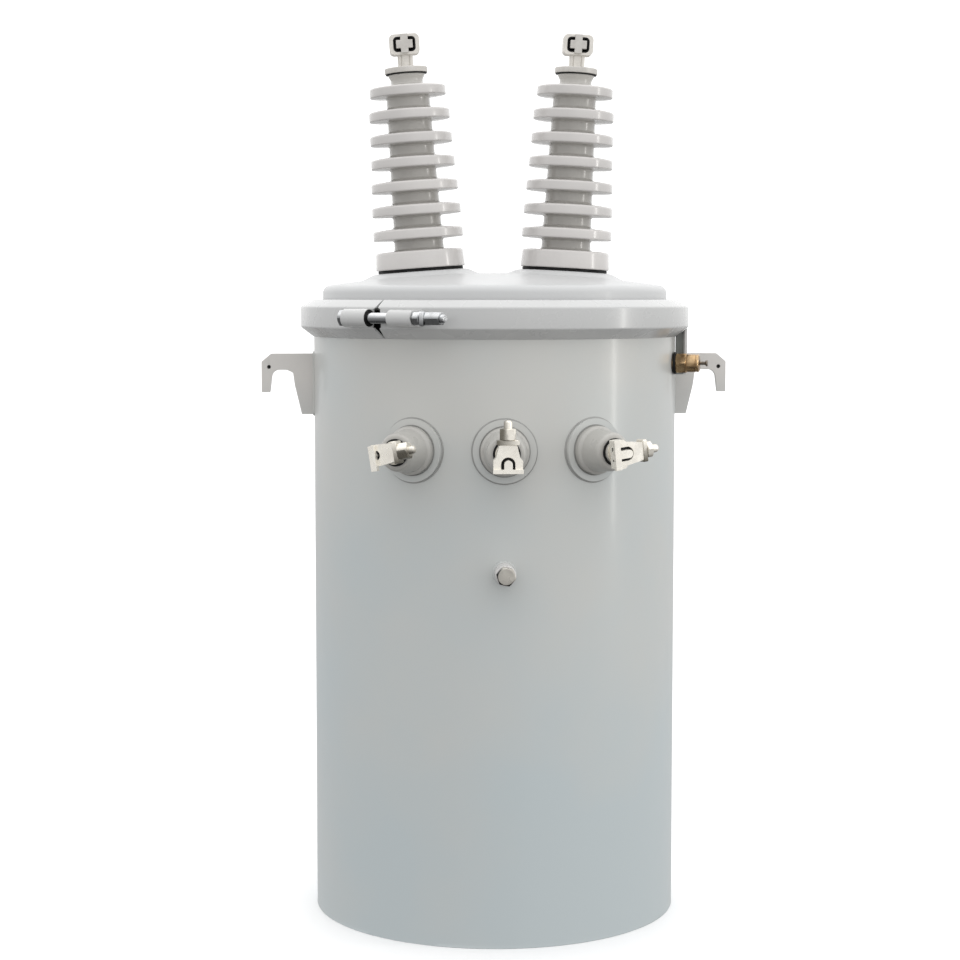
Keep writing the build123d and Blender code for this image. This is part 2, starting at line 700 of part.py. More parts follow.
# ---- lifting lugs ----
def lifting_lug(side):
    inner = TANK_R - LUG_T
    high_r = LUG_ARCH_W * 0.34
    points = [
        (inner, LUG_TOP_Z),
        (inner, LUG_LEG_Z),
        (TANK_R + LUG_ROOT_W, LUG_LEG_Z),
        (LUG_ARCH_IN - LUG_LEG_SLANT * 0.2, LUG_ARCH_Z - LUG_LEG_H * 0.35),
        (LUG_ARCH_IN, LUG_ARCH_Z - LUG_SHOULDER_H),
        (LUG_ARCH_IN + LUG_SHOULDER_W, LUG_ARCH_Z),
        (LUG_ARCH_OUT - LUG_ARCH_W * 0.12, LUG_ARCH_Z),
        (LUG_ARCH_OUT, LUG_HOOK_Z),
        (LUG_OUT, LUG_HOOK_Z),
        (LUG_OUT, LUG_TOP_Z - LUG_CUT_H),
        (LUG_OUT - LUG_CUT_W, LUG_TOP_Z),
    ]
    face = rounded(points, [0, 0, 1, 3, 2, 4, high_r, 1, 1, 3, 3])
    plate = extrude(Plane.XZ * face, LUG_T / 2, both=True)
    hole_x = LUG_OUT - LUG_HOOK_W * 0.87
    hole_z = LUG_TOP_Z - LUG_BRIDGE_H * 0.82
    front = Plane(origin=(hole_x, -LUG_T / 2, hole_z), z_dir=(0, -1, 0))
    hole = front * rod(LUG_HOLE_R, -LUG_HOLE_DEEP, 1)
    plate = plate - hole - rod(TANK_R + FIT, LUG_LEG_Z - 20, LUG_TOP_Z + 20)
    if side < 0:
        plate = mirror(plate, Plane.YZ)
    return plate


def under_ring():
    """Form of the ring's lower slope and face, FIT outside it."""
    points = [
        (0, RING_LOW - FIT),
        (TANK_R + FIT, RING_LOW - FIT),
        (RING_R + FIT, FACE_LOW - FIT),
        (RING_R + FIT, FACE_HIGH),
        (0, FACE_HIGH),
    ]
    return turned(points, [0, 0, 0, 0, 0])


def ring_bracket():
    face = outward(BRACKET_AZ, 0, 0)
    h = BRACKET_W / 2
    r = RING_R - BRACKET_IN
    low = RING_LOW - BRACKET_DOWN
    plate = block(-h, h, low, FACE_LOW, r - BRACKET_T, r)
    web = block(h - BRACKET_T, h, low, FACE_LOW, TANK_R - 12, r)
    body = face * (plate + web)
    return body - rod(TANK_R + FIT, low - 5, FACE_LOW + 5) - under_ring()


# ---- support lugs ----
def support_lug(z):
    w = SUPPORT_W / 2
    h = SUPPORT_H / 2
    far = TANK_R + SUPPORT_OUT
    plate = block(-w, w, far - SUPPORT_T, far, -h, h)
    left = block(-w, -w + SUPPORT_T, TANK_R - 30, far, -h, h)
    right = block(w - SUPPORT_T, w, TANK_R - 30, far, -h, h)
    body = plate + left + right - rod(TANK_R + FIT, -h - 5, h + 5)
    slot = extrude(Plane.XZ * SlotOverall(SUPPORT_SLOT_H, SUPPORT_SLOT_W, rotation=90), 40, both=True)
    return Pos(0, 0, z) * (body - Pos(0, far, 0) * slot)


# ---- write every part ----
save(tank_wall(), "tank_wall")
save(tank_bottom(), "tank_bottom")
save(tank_flange(), "tank_flange")
save(cover(), "cover")
save(cover_gasket(), "cover_gasket")
save(clamp_ring(), "clamp_ring")
near = -BARREL_LEFT_NEAR
save(ring_barrel(near - BARREL_L, near, BARREL_LEFT_R, BARREL_LEFT_BORE), "ring_barrel_left")
near = BARREL_RIGHT_NEAR
save(ring_barrel(near, near + BARREL_L, BARREL_RIGHT_R, BARREL_RIGHT_BORE), "ring_barrel_right")
save(ring_bolt(), "ring_bolt")
save(ring_nuts(), "ring_nuts")
caps = []
for side, word in ((-1, "left"), (1, "right")):
    save(hv_frame(side) * hv_gasket(), "hv_gasket_" + word)
    save(hv_frame(side) * hv_bushing(), "hv_bushing_" + word)
    caps.append(hv_frame(side) * hv_seal())
    save(hv_frame(side) * hv_cap(), "hv_cap_" + word)
    save(hv_frame(side) * hv_terminal(), "hv_terminal_" + word)
    save(hv_frame(side) * hv_keeper(), "hv_keeper_" + word)
    save(lifting_lug(side), "lifting_lug_" + word)
save(Compound(children=caps), "hv_seals")
seals = []
tongues = []
for az, word in zip((-LV_AZ, 0, LV_AZ), LV_CLAMPS):
    place = outward(az, LV_FACE_R, LV_Z)
    turned_place = place * Rot(0, 0, LV_CLAMPS[word][0])
    save(lv_collar(az), "lv_collar_" + word)
    save(place * lv_bushing(), "lv_bushing_" + word)
    seals.append(place * lv_seal())
    save(turned_place * lv_terminal(word), "lv_terminal_" + word)
    tongues.append(turned_place * lv_tee(word))
    save(turned_place * lv_bolt(word), "lv_bolt_" + word)
save(Compound(children=seals), "lv_seals")
save(Compound(children=tongues), "lv_tongues")
save(earth_boss(), "earth_boss")
save(earth_bolt(), "earth_bolt")
save(relief_washer(), "relief_washer")
save(relief_valve(), "relief_valve")
save(relief_pull(), "relief_pull")
save(ring_bracket(), "ring_bracket")
save(support_lug(SUPPORT_Z[0]), "support_lug_upper")
save(support_lug(SUPPORT_Z[1]), "support_lug_lower")
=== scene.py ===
import math

import bmesh
import bpy
import numpy as np
from mathutils import Matrix, Vector


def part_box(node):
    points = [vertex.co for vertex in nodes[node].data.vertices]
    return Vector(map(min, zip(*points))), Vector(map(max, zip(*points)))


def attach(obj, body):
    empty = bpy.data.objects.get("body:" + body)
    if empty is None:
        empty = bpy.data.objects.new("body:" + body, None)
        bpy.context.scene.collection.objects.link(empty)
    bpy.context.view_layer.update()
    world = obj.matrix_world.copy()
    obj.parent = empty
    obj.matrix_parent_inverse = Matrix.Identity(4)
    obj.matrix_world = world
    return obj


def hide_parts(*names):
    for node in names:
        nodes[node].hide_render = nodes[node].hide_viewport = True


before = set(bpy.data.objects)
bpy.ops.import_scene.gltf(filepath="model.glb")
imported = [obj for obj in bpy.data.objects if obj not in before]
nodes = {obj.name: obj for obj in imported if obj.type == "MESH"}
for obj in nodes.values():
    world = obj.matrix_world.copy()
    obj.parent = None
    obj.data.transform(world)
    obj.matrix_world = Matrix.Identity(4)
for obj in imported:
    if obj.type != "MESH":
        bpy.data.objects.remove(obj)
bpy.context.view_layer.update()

# The frame is in metres, +Z up, with the front towards -Y. Outlines are drawn in millimetres, and MM
# takes them to metres. Azimuths turn from the front to the right.
MM = 0.001

# ---------------------------------------------------------------- sizes, in millimetres
TANK_WALL = 3.5
TANK_WAVE = 0.04            # each slow wave of the rolled wall
RING_T = 2.0                # sheet of the clamp ring
RING_OUT = 15.0             # its upright face, past the wall
RING_FOOT_H = 11.0          # height of the slope below that face
RING_SLOPE_H = 8.0          # height of the slope above it
RING_SLOPE_W = 12.0         # and its width
RING_LIP_W = 11.5           # flat lip on top
RING_FIT = 0.3              # gap between that lip and the cover's brim
CLOSURE_OUT = 7.0           # closing bolt outside the ring's face
CLOSURE_SHIFT = 8.0         # middle of the closure to the right of the split
COVER_T = 2.6               # sheet of the cover
COVER_BRIM = 1.5            # its brim past the wall
COVER_SIDE_IN = 10.7        # its raised side inside the wall
COVER_SIDE_H = 17.5         # height of that side above the brim
COVER_RISE = 15.6           # dome from that side to the centre
PAD_UP = 1.6                # pad under a high voltage bushing, above the centre of the dome
PAD_FLAT_R = 51.0           # flat part of the pad
PAD_FOOT_R = 70.0           # where the pad has run out into the dome


# ---------------------------------------------------------------- places in metres, from the frame
def middle_z(node):
    """Height of the middle of a node's box."""
    return sum(corner.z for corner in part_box(node)) / 2


TANK_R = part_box("tank_wall")[1].x
RIM_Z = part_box("tank_wall")[1].z
SEAM_AZ = math.radians(158)
RING_R = TANK_R + RING_OUT * MM
RING_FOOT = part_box("clamp_ring")[0].z
RING_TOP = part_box("clamp_ring")[1].z
FACE_HIGH = RING_TOP - RING_SLOPE_H * MM
FACE_LOW = RING_FOOT + RING_FOOT_H * MM
FACE_MID = (FACE_HIGH + FACE_LOW) / 2
SPLIT_AZ = math.radians(-37.5)
BRIM_TOP = RING_TOP - (RING_T + RING_FIT) * MM
CROWN_Z = BRIM_TOP + (COVER_SIDE_H + COVER_RISE) * MM
PAD_Z = CROWN_Z + PAD_UP * MM
HV_SIDES = {-1: (-85.7 * MM, math.radians(-4.1)), 1: (81.5 * MM, math.radians(3.2))}  # place in x, lean
LV_Z = middle_z("lv_bushing_centre")
LV_AZ = math.radians(28)
LV_OUT = 2.5 * MM           # flat face of the collars past the wall, where the bushings sit
EARTH_Z = middle_z("earth_bolt")
RELIEF_Z = middle_z("relief_valve")
RELIEF_AZ = math.radians(74)


def outward(az, r, z):
    """Matrix of a spot at radius r: x to the right round the tank, y up, z outward."""
    s, c = math.sin(az), math.cos(az)
    return Matrix(((c, 0, s, r * s), (s, 0, -c, -r * c), (0, 1, 0, z), (0, 0, 0, 1)))


def hv_place(side):
    """Matrix of a high voltage bushing: z along its leaning axis, from the pad up."""
    x, lean = HV_SIDES[side]
    return Matrix.Translation((x, 0, PAD_Z)) @ Matrix.Rotation(lean, 4, "Y")


def ring_place():
    """Matrix of the closing bolt: z to the right along it from the middle of the closure, x outward."""
    s, c = math.sin(SPLIT_AZ), math.cos(SPLIT_AZ)
    x, z = Vector((s, -c, 0)), Vector((c, s, 0))
    y = z.cross(x)
    at = x * (RING_R + CLOSURE_OUT * MM) + z * (CLOSURE_SHIFT * MM)
    return Matrix(((x.x, y.x, z.x, at.x), (x.y, y.y, z.y, at.y), (x.z, y.z, z.z, FACE_MID), (0, 0, 0, 1)))


# a shape drawn along z is stood along its place's y
Z_TO_Y = Matrix(((1, 0, 0, 0), (0, 0, 1, 0), (0, -1, 0, 0), (0, 0, 0, 1)))


# ---------------------------------------------------------------- surfaces
def angles(count):
    """Equal angles once round."""
    return np.arange(count) * (2 * np.pi / count)


def smooth(k):
    """The smooth step 3kk - 2kkk of a share between 0 and 1."""
    return k * k * (3 - 2 * k)


def placed(points, place):
    """Rows of points carried by a matrix."""
    turn = np.array(place)
    return points @ turn[:3, :3].T + turn[:3, 3]


def round_tank(r, az, z):
    """Points at radius r, azimuth az and height z."""
    return np.stack([r * np.sin(az), -r * np.cos(az), z + 0 * az], -1)


def wall_spot(az, x, y, z):
    """Points on the wall, x round it and y up from the spot (az, z)."""
    return round_tank(TANK_R, az + np.asarray(x) / TANK_R, z + np.asarray(y))


def rounded(points, radii, steps=5, closed=False):
    """Outline through the points (mm), each corner replaced by an arc of its radius, cut in equal angles."""
    out = []
    n = len(points)
    for i, (corner, r) in enumerate(zip(points, radii)):
        corner = np.array(corner, float)
        if r <= 0 or (not closed and i in (0, n - 1)):
            out.append(corner)
            continue
        back = np.array(points[i - 1], float) - corner
        ahead = np.array(points[(i + 1) % n], float) - corner
        back /= np.linalg.norm(back)
        ahead /= np.linalg.norm(ahead)
        half = math.acos(max(-1.0, min(1.0, float(back @ ahead)))) / 2
        inward = (back + ahead) / np.linalg.norm(back + ahead)
        centre = corner + inward * r / math.sin(half)
        start = corner + back * r / math.tan(half) - centre
        stop = corner + ahead * r / math.tan(half) - centre
        sweep = math.atan2(start[0] * stop[1] - start[1] * stop[0], float(start @ stop))
        t = np.linspace(0, sweep, steps + 1)
        x = start[0] * np.cos(t) - start[1] * np.sin(t)
        y = start[0] * np.sin(t) + start[1] * np.cos(t)
        out.extend(np.stack([x, y], 1) + centre)
    return np.array(out) * MM


def turned(profile, count=96, squeeze=None):
    """Rows of a turned surface: (radius, height) swept round z in equal steps.

    squeeze(angle, radius, height) may change the radius.
    """
    t = angles(count)
    r, z = profile[:, :1] + 0 * t, profile[:, 1:] + 0 * t
    if squeeze is not None:
        r = squeeze(t[None, :] + 0 * r, r, z)
    return np.stack([r * np.cos(t), r * np.sin(t), z], -1)


def plain(points, radii, count=96):
    """Turned piece whose outline (radius, height in mm) starts and ends on the axis."""
    return turned(rounded(points, radii), count)


def hollow(points, radii, count=96):
    """Turned ring from a closed outline (radius, height in mm)."""
    return turned(rounded(points, radii, closed=True), count)


def tube(path, radius, closed, flat=1.0):
    """Rows of a bead: at each path point a circle of its radius in the plane across the path.

    The circle is pressed to the share flat in the direction away from the tank's axis.
    """
    path = np.asarray(path, float)
    ahead = np.roll(path, -1, 0) - np.roll(path, 1, 0) if closed else np.gradient(path, axis=0)
    ahead /= np.linalg.norm(ahead, axis=1)[:, None]
    out = path * np.array([1.0, 1.0, 0.0])
    out /= np.maximum(np.linalg.norm(out, axis=1)[:, None], 1e-9)
    out -= ahead * np.sum(out * ahead, 1)[:, None]
    out /= np.maximum(np.linalg.norm(out, axis=1)[:, None], 1e-9)
    across = np.cross(ahead, out)
    t = angles(8)
    radius = np.broadcast_to(np.asarray(radius, float), (len(path),))
    ring = across[:, None, :] * np.cos(t)[None, :, None] + out[:, None, :] * np.sin(t)[None, :, None] * flat
    return path[:, None, :] + ring * radius[:, None, None]


def grid_faces(n, m, close_n, close_m, start=0):
    """Four corner numbers of every cell of an n by m grid, joined round in either way where it closes."""
    i = np.arange(n if close_n else n - 1)[:, None]
    j = np.arange(m if close_m else m - 1)[None, :]
    i2, j2 = (i + 1) % n, (j + 1) % m
    quad = np.stack([i * m + j, i * m + j2, i2 * m + j2, i2 * m + j], -1)
    return quad.reshape(-1, 4) + start


def capped(rows, place=None):
    """A grid of closed rows whose first and last rows are points or get a face."""
    return rows, False, place


def ringed(rows, place=None):
    """A grid of closed rows whose last row joins its first."""
    return rows, True, place


def piece(name, grids, finish, sharp=32, replaces=()):
    """One object from capped and ringed grids, each carried by its matrix."""
    points, faces, start = [], [], 0
    for rows, joined, place in grids:
        n, m = rows.shape[:2]
        flat = rows.reshape(-1, 3)
        points.append(flat if place is None else placed(flat, place))
        faces += grid_faces(n, m, joined, True, start).tolist()
        if not joined:
            low, high = start + np.arange(m)[::-1], start + (n - 1) * m + np.arange(m)
            for row, edge in ((low, rows[0]), (high, rows[-1])):
                if np.ptp(edge, axis=0).max() > 1e-6:
                    faces.append(row.tolist())
        start += n * m
    mesh = bpy.data.meshes.new(name)
    mesh.from_pydata(np.concatenate(points).tolist(), [], faces)
    return settle(name, mesh, finish, sharp, replaces)


def settle(name, mesh, finish, sharp, replaces, ease=0.0):
    """Makes a mesh a piece of the object: doubled points merged, faces turned outward, edges sharper than
    the angle kept, the others shaded smooth or eased; it rides on the body and stands for its CAD nodes."""
    work = bmesh.new()
    work.from_mesh(mesh)
    bmesh.ops.remove_doubles(work, verts=work.verts, dist=2e-6)
    bmesh.ops.dissolve_degenerate(work, edges=work.edges, dist=1e-6)
    bmesh.ops.recalc_face_normals(work, faces=work.faces)
    work.to_mesh(mesh)
    work.free()
    mesh.shade_smooth()
    mesh.set_sharp_from_angle(angle=math.radians(sharp))
    mesh.materials.append(finish)
    obj = bpy.data.objects.new(name, mesh)
    bpy.context.scene.collection.objects.link(obj)
    if ease:
        soft = obj.modifiers.new("edges", "BEVEL")
        soft.width = ease
        soft.segments = 2
        soft.limit_method = "ANGLE"
        soft.angle_limit = math.radians(38)
        soft.harden_normals = True
    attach(obj, "root")
    if replaces:
        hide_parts(*replaces)
    return obj


def dressed(node, finish, ease):
    """A copy of a CAD node with its loose triangles merged, flat faces joined and edges eased by so many
    millimetres; it stands for that node."""
    mesh = nodes[node].data.copy()
    mesh.name = node + "_eased"
    mesh.materials.clear()
    work = bmesh.new()
    work.from_mesh(mesh)
    bmesh.ops.remove_doubles(work, verts=work.verts, dist=2e-6)
    bmesh.ops.dissolve_limit(work, angle_limit=math.radians(0.6), verts=work.verts, edges=work.edges)
    work.to_mesh(mesh)
    work.free()
    return settle(node + "_eased", mesh, finish, 30, (node,), ease * MM)


# ---------------------------------------------------------------- finishes
PAINTED_SHADE = "groove"                       # attribute of a piece, stored as groove: how much painted shade each point takes
MIX_SHARE, MIX_A, MIX_B, MIX_OUT = 0, 6, 7, 2    # sockets of a Mix node that mixes colours


class Nodes:
    """A node tree and short ways to add to it; a value is a number, a colour or another node's output."""

    def __init__(self, tree):
        self.tree = tree
        tree.nodes.clear()

    def add(self, kind):
        """A new node."""
        return self.tree.nodes.new(kind)

    def feed(self, socket, value):
        """Links an output to a socket, or sets the socket itself."""
        if isinstance(value, bpy.types.NodeSocket):
            self.tree.links.new(value, socket)
        elif socket.type == "RGBA":
            socket.default_value = (*value, 1.0)
        else:
            socket.default_value = value

    def work_out(self, how, *values, clamp=False):
        """A Math node's result."""
        node = self.add("ShaderNodeMath")
        node.operation = how
        node.use_clamp = clamp
        for socket, value in zip(node.inputs, values):
            self.feed(socket, value)
        return node.outputs[0]

    def ramp(self, value, low, high, start=0.0, end=1.0, curve="LINEAR"):
        """The value, with low to high taken to start to end and held outside them."""
        node = self.add("ShaderNodeMapRange")
        node.interpolation_type = curve
        for name, number in (("From Min", low), ("From Max", high), ("To Min", start), ("To Max", end)):
            node.inputs[name].default_value = number
        self.feed(node.inputs["Value"], value)
        return node.outputs["Result"]


class Finish(Nodes):
    """A material with one Principled shader; its patterns lie in the piece's own coordinates."""

    def __init__(self, name):
        self.material = bpy.data.materials.new(name)
        self.material.use_nodes = True
        super().__init__(self.material.node_tree)
        self.shader = self.add("ShaderNodeBsdfPrincipled")
        self.feed(self.add("ShaderNodeOutputMaterial").inputs["Surface"], self.shader.outputs["BSDF"])
        self.where = self.add("ShaderNodeTexCoord").outputs["Object"]

    def put(self, socket, value):
        """Gives one of the shader's sockets its value."""
        self.feed(self.shader.inputs[socket], value)

    def noise(self, scale, detail, rough=0.5):
        """Cloudy noise with about so many clouds to a metre."""
        node = self.add("ShaderNodeTexNoise")
        for name, value in (("Scale", scale), ("Detail", detail), ("Roughness", rough)):
            node.inputs[name].default_value = value
        self.feed(node.inputs["Vector"], self.where)
        return node.outputs["Fac"]

    def clouds(self, scale, detail, start=0.0, end=1.0, span=(0.3, 0.7), rough=0.5):
        """Noise with its span taken to start to end."""
        return self.ramp(self.noise(scale, detail, rough), *span, start, end)

    def mix(self, share, a, b):
        """Colour a, turning to b with the share."""
        node = self.add("ShaderNodeMix")
        node.data_type = "RGBA"
        for socket, value in ((MIX_SHARE, share), (MIX_A, a), (MIX_B, b)):
            self.feed(node.inputs[socket], value)
        return node.outputs[MIX_OUT]

    def with_painted_shade(self, base, painted_shade_colour):
        """The base colour turning to the shade colour, if any, by the piece's painted shade attribute."""
        if painted_shade_colour is None:
            return base
        node = self.add("ShaderNodeAttribute")
        node.attribute_name = PAINTED_SHADE
        return self.mix(node.outputs["Fac"], base, painted_shade_colour)

    def bump(self, *reliefs):
        """Reliefs on each other, each a pattern, its strength and its depth in millimetres."""
        last = None
        for pattern, strength, depth in reliefs:
            node = self.add("ShaderNodeBump")
            node.inputs["Strength"].default_value = strength
            node.inputs["Distance"].default_value = depth * MM
            self.feed(node.inputs["Height"], pattern)
            if last is not None:
                self.feed(node.inputs["Normal"], last)
            last = node.outputs["Normal"]
        self.put("Normal", last)


def darker(colour, share):
    """The colour at a share of its brightness."""
    return tuple(c * share for c in colour)


def enamel(name, colour, patch_and_painted_low_grey, rough=0.33, coat=0.25, fall=(0.68, 0.08), bright=None):
    """Sprayed enamel: broad faint patches between two greys, uneven gloss, orange peel millimetres across.

    The second grey gains downwards between the two heights of fall, in metres, as painted light low down.
    Beyond x = bright, where that is given, a painted highlight lightens the edge.
    """
    skin = Finish(name)
    patch = skin.clouds(4.5, 4, -0.35, 0.35, (0.32, 0.68))
    xyz = skin.add("ShaderNodeSeparateXYZ")
    skin.feed(xyz.inputs[0], skin.where)
    # painted light: towards the bottom the colour turns to the second grey
    down = skin.ramp(xyz.outputs["Z"], *fall)
    base = skin.mix(skin.work_out("ADD", patch, down, clamp=True), colour, patch_and_painted_low_grey)
    base = skin.mix(skin.clouds(900, 2, 0.0, 0.06), base, darker(colour, 0.8))
    if bright is not None:
        # painted highlight on the thin bracket's outer edge
        painted_edge_highlight = skin.ramp(xyz.outputs["X"], bright, bright + 0.3 * MM)
        base = skin.mix(painted_edge_highlight, base, (0.68, 0.68, 0.675))
    skin.put("Base Color", base)
    skin.put("Roughness", skin.clouds(28, 5, rough - 0.035, rough + 0.05))
    skin.put("Coat Weight", coat)
    skin.put("Coat Roughness", 0.12)
    peel = ((skin.noise(420, 2), 0.10, 0.12), (skin.noise(1800, 2), 0.06, 0.04))
    skin.bump((skin.noise(9, 2), 0.10, 1.2), *peel)
    return skin.material


def glaze(name, colour, dark, rough=0.2, coat=0.35, painted_shade_colour=None):
    """Fired glaze: cloudy grey, pinprick specks, pooled gloss, a slow ripple; painted shade in grooves."""
    skin = Finish(name)
    base = skin.with_painted_shade(skin.mix(skin.clouds(22, 4), colour, dark), painted_shade_colour)
    speck = skin.clouds(1500, 1, 0.0, 0.5, (0.72, 0.78))
    skin.put("Base Color", skin.mix(speck, base, darker(colour, 0.45)))
    skin.put("Roughness", skin.clouds(60, 3, rough - 0.04, rough + 0.06))
    skin.put("Coat Weight", coat)
    skin.put("Coat Roughness", 0.14)
    skin.bump((skin.noise(45, 2), 0.12, 0.6), (skin.noise(380, 2), 0.08, 0.1))
    return skin.material


def plated(name, colour, dark, metal=1.0, rough=0.36, grain=240.0, speck=0.35, relief=0.25, painted_shade_colour=None):
    """Plated metal: bright and dull clouds, uneven gloss, dark specks, painted shade where a colour for it is
    given, and the fine grain of the casting or forging under the plating."""
    skin = Finish(name)
    base = skin.with_painted_shade(skin.mix(skin.clouds(90, 5, span=(0.35, 0.7), rough=0.6), colour, dark), painted_shade_colour)
    specks = skin.clouds(700, 3, 0.0, speck, (0.55, 0.75))
    skin.put("Base Color", skin.mix(specks, base, darker(dark, 0.6)))
    skin.put("Metallic", metal)
    skin.put("Roughness", skin.clouds(130, 4, rough - 0.08, rough + 0.12))
    skin.bump((skin.noise(grain, 3, 0.6), relief, 0.2), (skin.noise(grain * 6, 2), 0.6 * relief, 0.05))
    return skin.material


def rubber(name, colour, bloom, shine):
    """Moulded rubber or sealant: a faint grey bloom over the body and a fine matt grain."""
    skin = Finish(name)
    skin.put("Specular IOR Level", shine)
    skin.put("Base Color", skin.mix(skin.clouds(70, 4, span=(0.35, 0.75)), colour, bloom))
    skin.put("Roughness", skin.clouds(160, 3, 0.48, 0.66))
    skin.bump((skin.noise(1400, 2), 0.2, 0.06))
    return skin.material


def turned_brass(name, az):
    """Turned brass: warm clouds, browner patina in patches, and fine tool rings across the axis at az."""
    skin = Finish(name)
    turn = skin.add("ShaderNodeMapping")
    turn.inputs["Rotation"].default_value = (0, 0, math.pi / 2 - az)
    skin.feed(turn.inputs["Vector"], skin.where)
    rings = skin.add("ShaderNodeTexWave")
    rings.wave_type = "BANDS"
    rings.bands_direction = "X"
    for socket, value in (("Scale", 420.0), ("Distortion", 0.4), ("Vector", turn.outputs["Vector"])):
        skin.feed(rings.inputs[socket], value)
    clouds = skin.clouds(110, 4, span=(0.35, 0.7))
    skin.put("Base Color", skin.mix(clouds, (0.56, 0.395, 0.225), (0.27, 0.17, 0.085)))
    skin.put("Metallic", 1.0)
    skin.put("Roughness", skin.clouds(170, 3, 0.13, 0.27))
    skin.bump((rings.outputs["Fac"], 0.25, 0.08), (skin.noise(500, 2), 0.15, 0.08))
    return skin.material


# the tank's second grey, cooler and a little darker, is painted low down as the cooler light from below
tank_enamel = enamel("tank enamel", (0.545, 0.547, 0.526), (0.476, 0.530, 0.546))
cover_enamel = enamel("cover enamel", (0.54, 0.545, 0.548), (0.53, 0.54, 0.542), rough=0.42, coat=0.10)
ring_enamel = enamel("ring enamel", (0.519, 0.522, 0.519), (0.504, 0.514, 0.516), rough=0.27)
# the lugs' grey is lighter than the tank's, and turns to the second grey between 0.625 and 0.585 m as painted
# shade on their lower part
lug_enamel = enamel("lug enamel", (0.63, 0.61, 0.585), (0.54, 0.537, 0.522), fall=(0.625, 0.585))
boss_enamel = enamel("boss enamel", (0.66, 0.645, 0.635), (0.66, 0.645, 0.635), rough=0.27)
# the thin bracket: the tank's grey darkened as painted shade under the ring, with a painted highlight at its
# edge
bracket_shade_enamel = enamel(
    "thin bracket enamel with painted shade",
    (0.30, 0.315, 0.305),
    (0.27, 0.29, 0.285),
    bright=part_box("ring_bracket")[1].x - 5.0 * MM,
)

# the last grey of the porcelain glaze is painted shade between the sheds
hv_glaze = glaze(
    "grey porcelain glaze", (0.60, 0.578, 0.562), (0.56, 0.543, 0.53), painted_shade_colour=(0.505, 0.49, 0.462)
)
lv_glaze = glaze("grey bushing glaze", (0.465, 0.458, 0.434), (0.43, 0.42, 0.395), rough=0.3, coat=0.15)

# black rubber for the gaskets and seals; the same black also stands as painted shade in clamp windows, slots,
# the ring split, a barrel mouth and lug holes
black = rubber("black rubber and painted shade", (0.006, 0.006, 0.006), (0.014, 0.014, 0.014), 0.18)
joint = rubber("joint sealant", (0.31, 0.31, 0.30), (0.38, 0.38, 0.37), 0.3)
dark_joint = rubber("dark joint sealant", (0.21, 0.21, 0.20), (0.28, 0.28, 0.27), 0.3)

cap_metal = plated("dull plated cap", (0.60, 0.58, 0.55), (0.52, 0.50, 0.47), metal=0.25, rough=0.42)
cage_metal = plated("pale plated clamp", (0.75, 0.72, 0.675), (0.66, 0.635, 0.59), metal=0.25, rough=0.38)
tin = plated(
    "dull tin", (0.95, 0.915, 0.84), (0.86, 0.82, 0.74), metal=0.5, rough=0.24, speck=0.12, relief=0.10
)
# the clamp bolts' tin and both zincs below carry a painted shade colour, laid on each bolt's low left side
bolt_tin = plated(
    "tin with painted shade",
    (0.93, 0.89, 0.81),
    (0.82, 0.78, 0.70),
    metal=0.6,
    rough=0.22,
    speck=0.15,
    relief=0.10,
    painted_shade_colour=(0.17, 0.155, 0.125),
)
zinc = plated(
    "bright zinc", (0.80, 0.81, 0.82), (0.55, 0.56, 0.57), rough=0.20, grain=420.0, painted_shade_colour=(0.22, 0.225, 0.23)
)
dull_zinc = plated(
    "dull zinc", (0.52, 0.50, 0.455), (0.43, 0.41, 0.37), metal=0.6, rough=0.30, painted_shade_colour=(0.018, 0.018, 0.017)
)
aged = plated("aged steel", (0.34, 0.29, 0.23), (0.14, 0.12, 0.10), rough=0.26)
brass = turned_brass("turned brass", RELIEF_AZ)


# ---------------------------------------------------------------- shared shapes, drawn in millimetres
def hexagon(flats, low, high, turn=0.0, crown=0.475):
    """Hexagonal prism with a corner at turn degrees, given by the width across its flats.

    The radius at each angle is the hexagon's, held near both ends inside a cone of 30 degrees that starts
    at the share crown of that width.
    """
    flats, low, high = flats * MM, low * MM, high * MM
    lift = np.array([0, 0.02, 0.05, 0.09, 0.14]) * flats * 0.5
    z = np.concatenate([[low], low + lift, [(low + high) / 2], (high - lift)[::-1], [high]])
    near = np.minimum(z - low, high - z)
    around = angles(72)
    side = flats / 2 / np.cos(around % (np.pi / 3) - np.pi / 6)
    r = np.minimum(side[None, :], crown * flats + near[:, None] * math.sqrt(3))
    r[0] = r[-1] = 0
    t = around + math.radians(turn)
    return np.stack([r * np.cos(t), r * np.sin(t), z[:, None] + 0 * r], -1)


def threaded(radius, low, high, pitch):
    """Threaded rod: the radius falls by the thread's depth as a wave along a helix, and tapers at its end."""
    radius, low, high, pitch = radius * MM, low * MM, high * MM, pitch * MM
    z = np.linspace(low, high, max(4, int((high - low) / pitch * 6)))
    t = angles(32)
    wave = 0.5 - 0.5 * np.cos(2 * np.pi * z[:, None] / pitch - t[None, :])
    r = radius - 0.55 * pitch * wave
    taper = np.clip((high - z) / (pitch * 0.8), 0, 1)[:, None]
    r = r * (0.86 + 0.14 * taper)
    r = np.concatenate([r[:1] * 0, r, r[-1:] * 0])
    z = np.concatenate([[low], z, [high]])
    return np.stack([r * np.cos(t), r * np.sin(t), z[:, None] + 0 * r], -1)


def oblong(half_w, half_h, radius, steps):
    """Closed outline of a rounded oblong round the origin."""
    corners = [(-half_w, -half_h), (half_w, -half_h), (half_w, half_h), (-half_w, half_h)]
    return rounded(corners, [radius] * 4, steps, True)


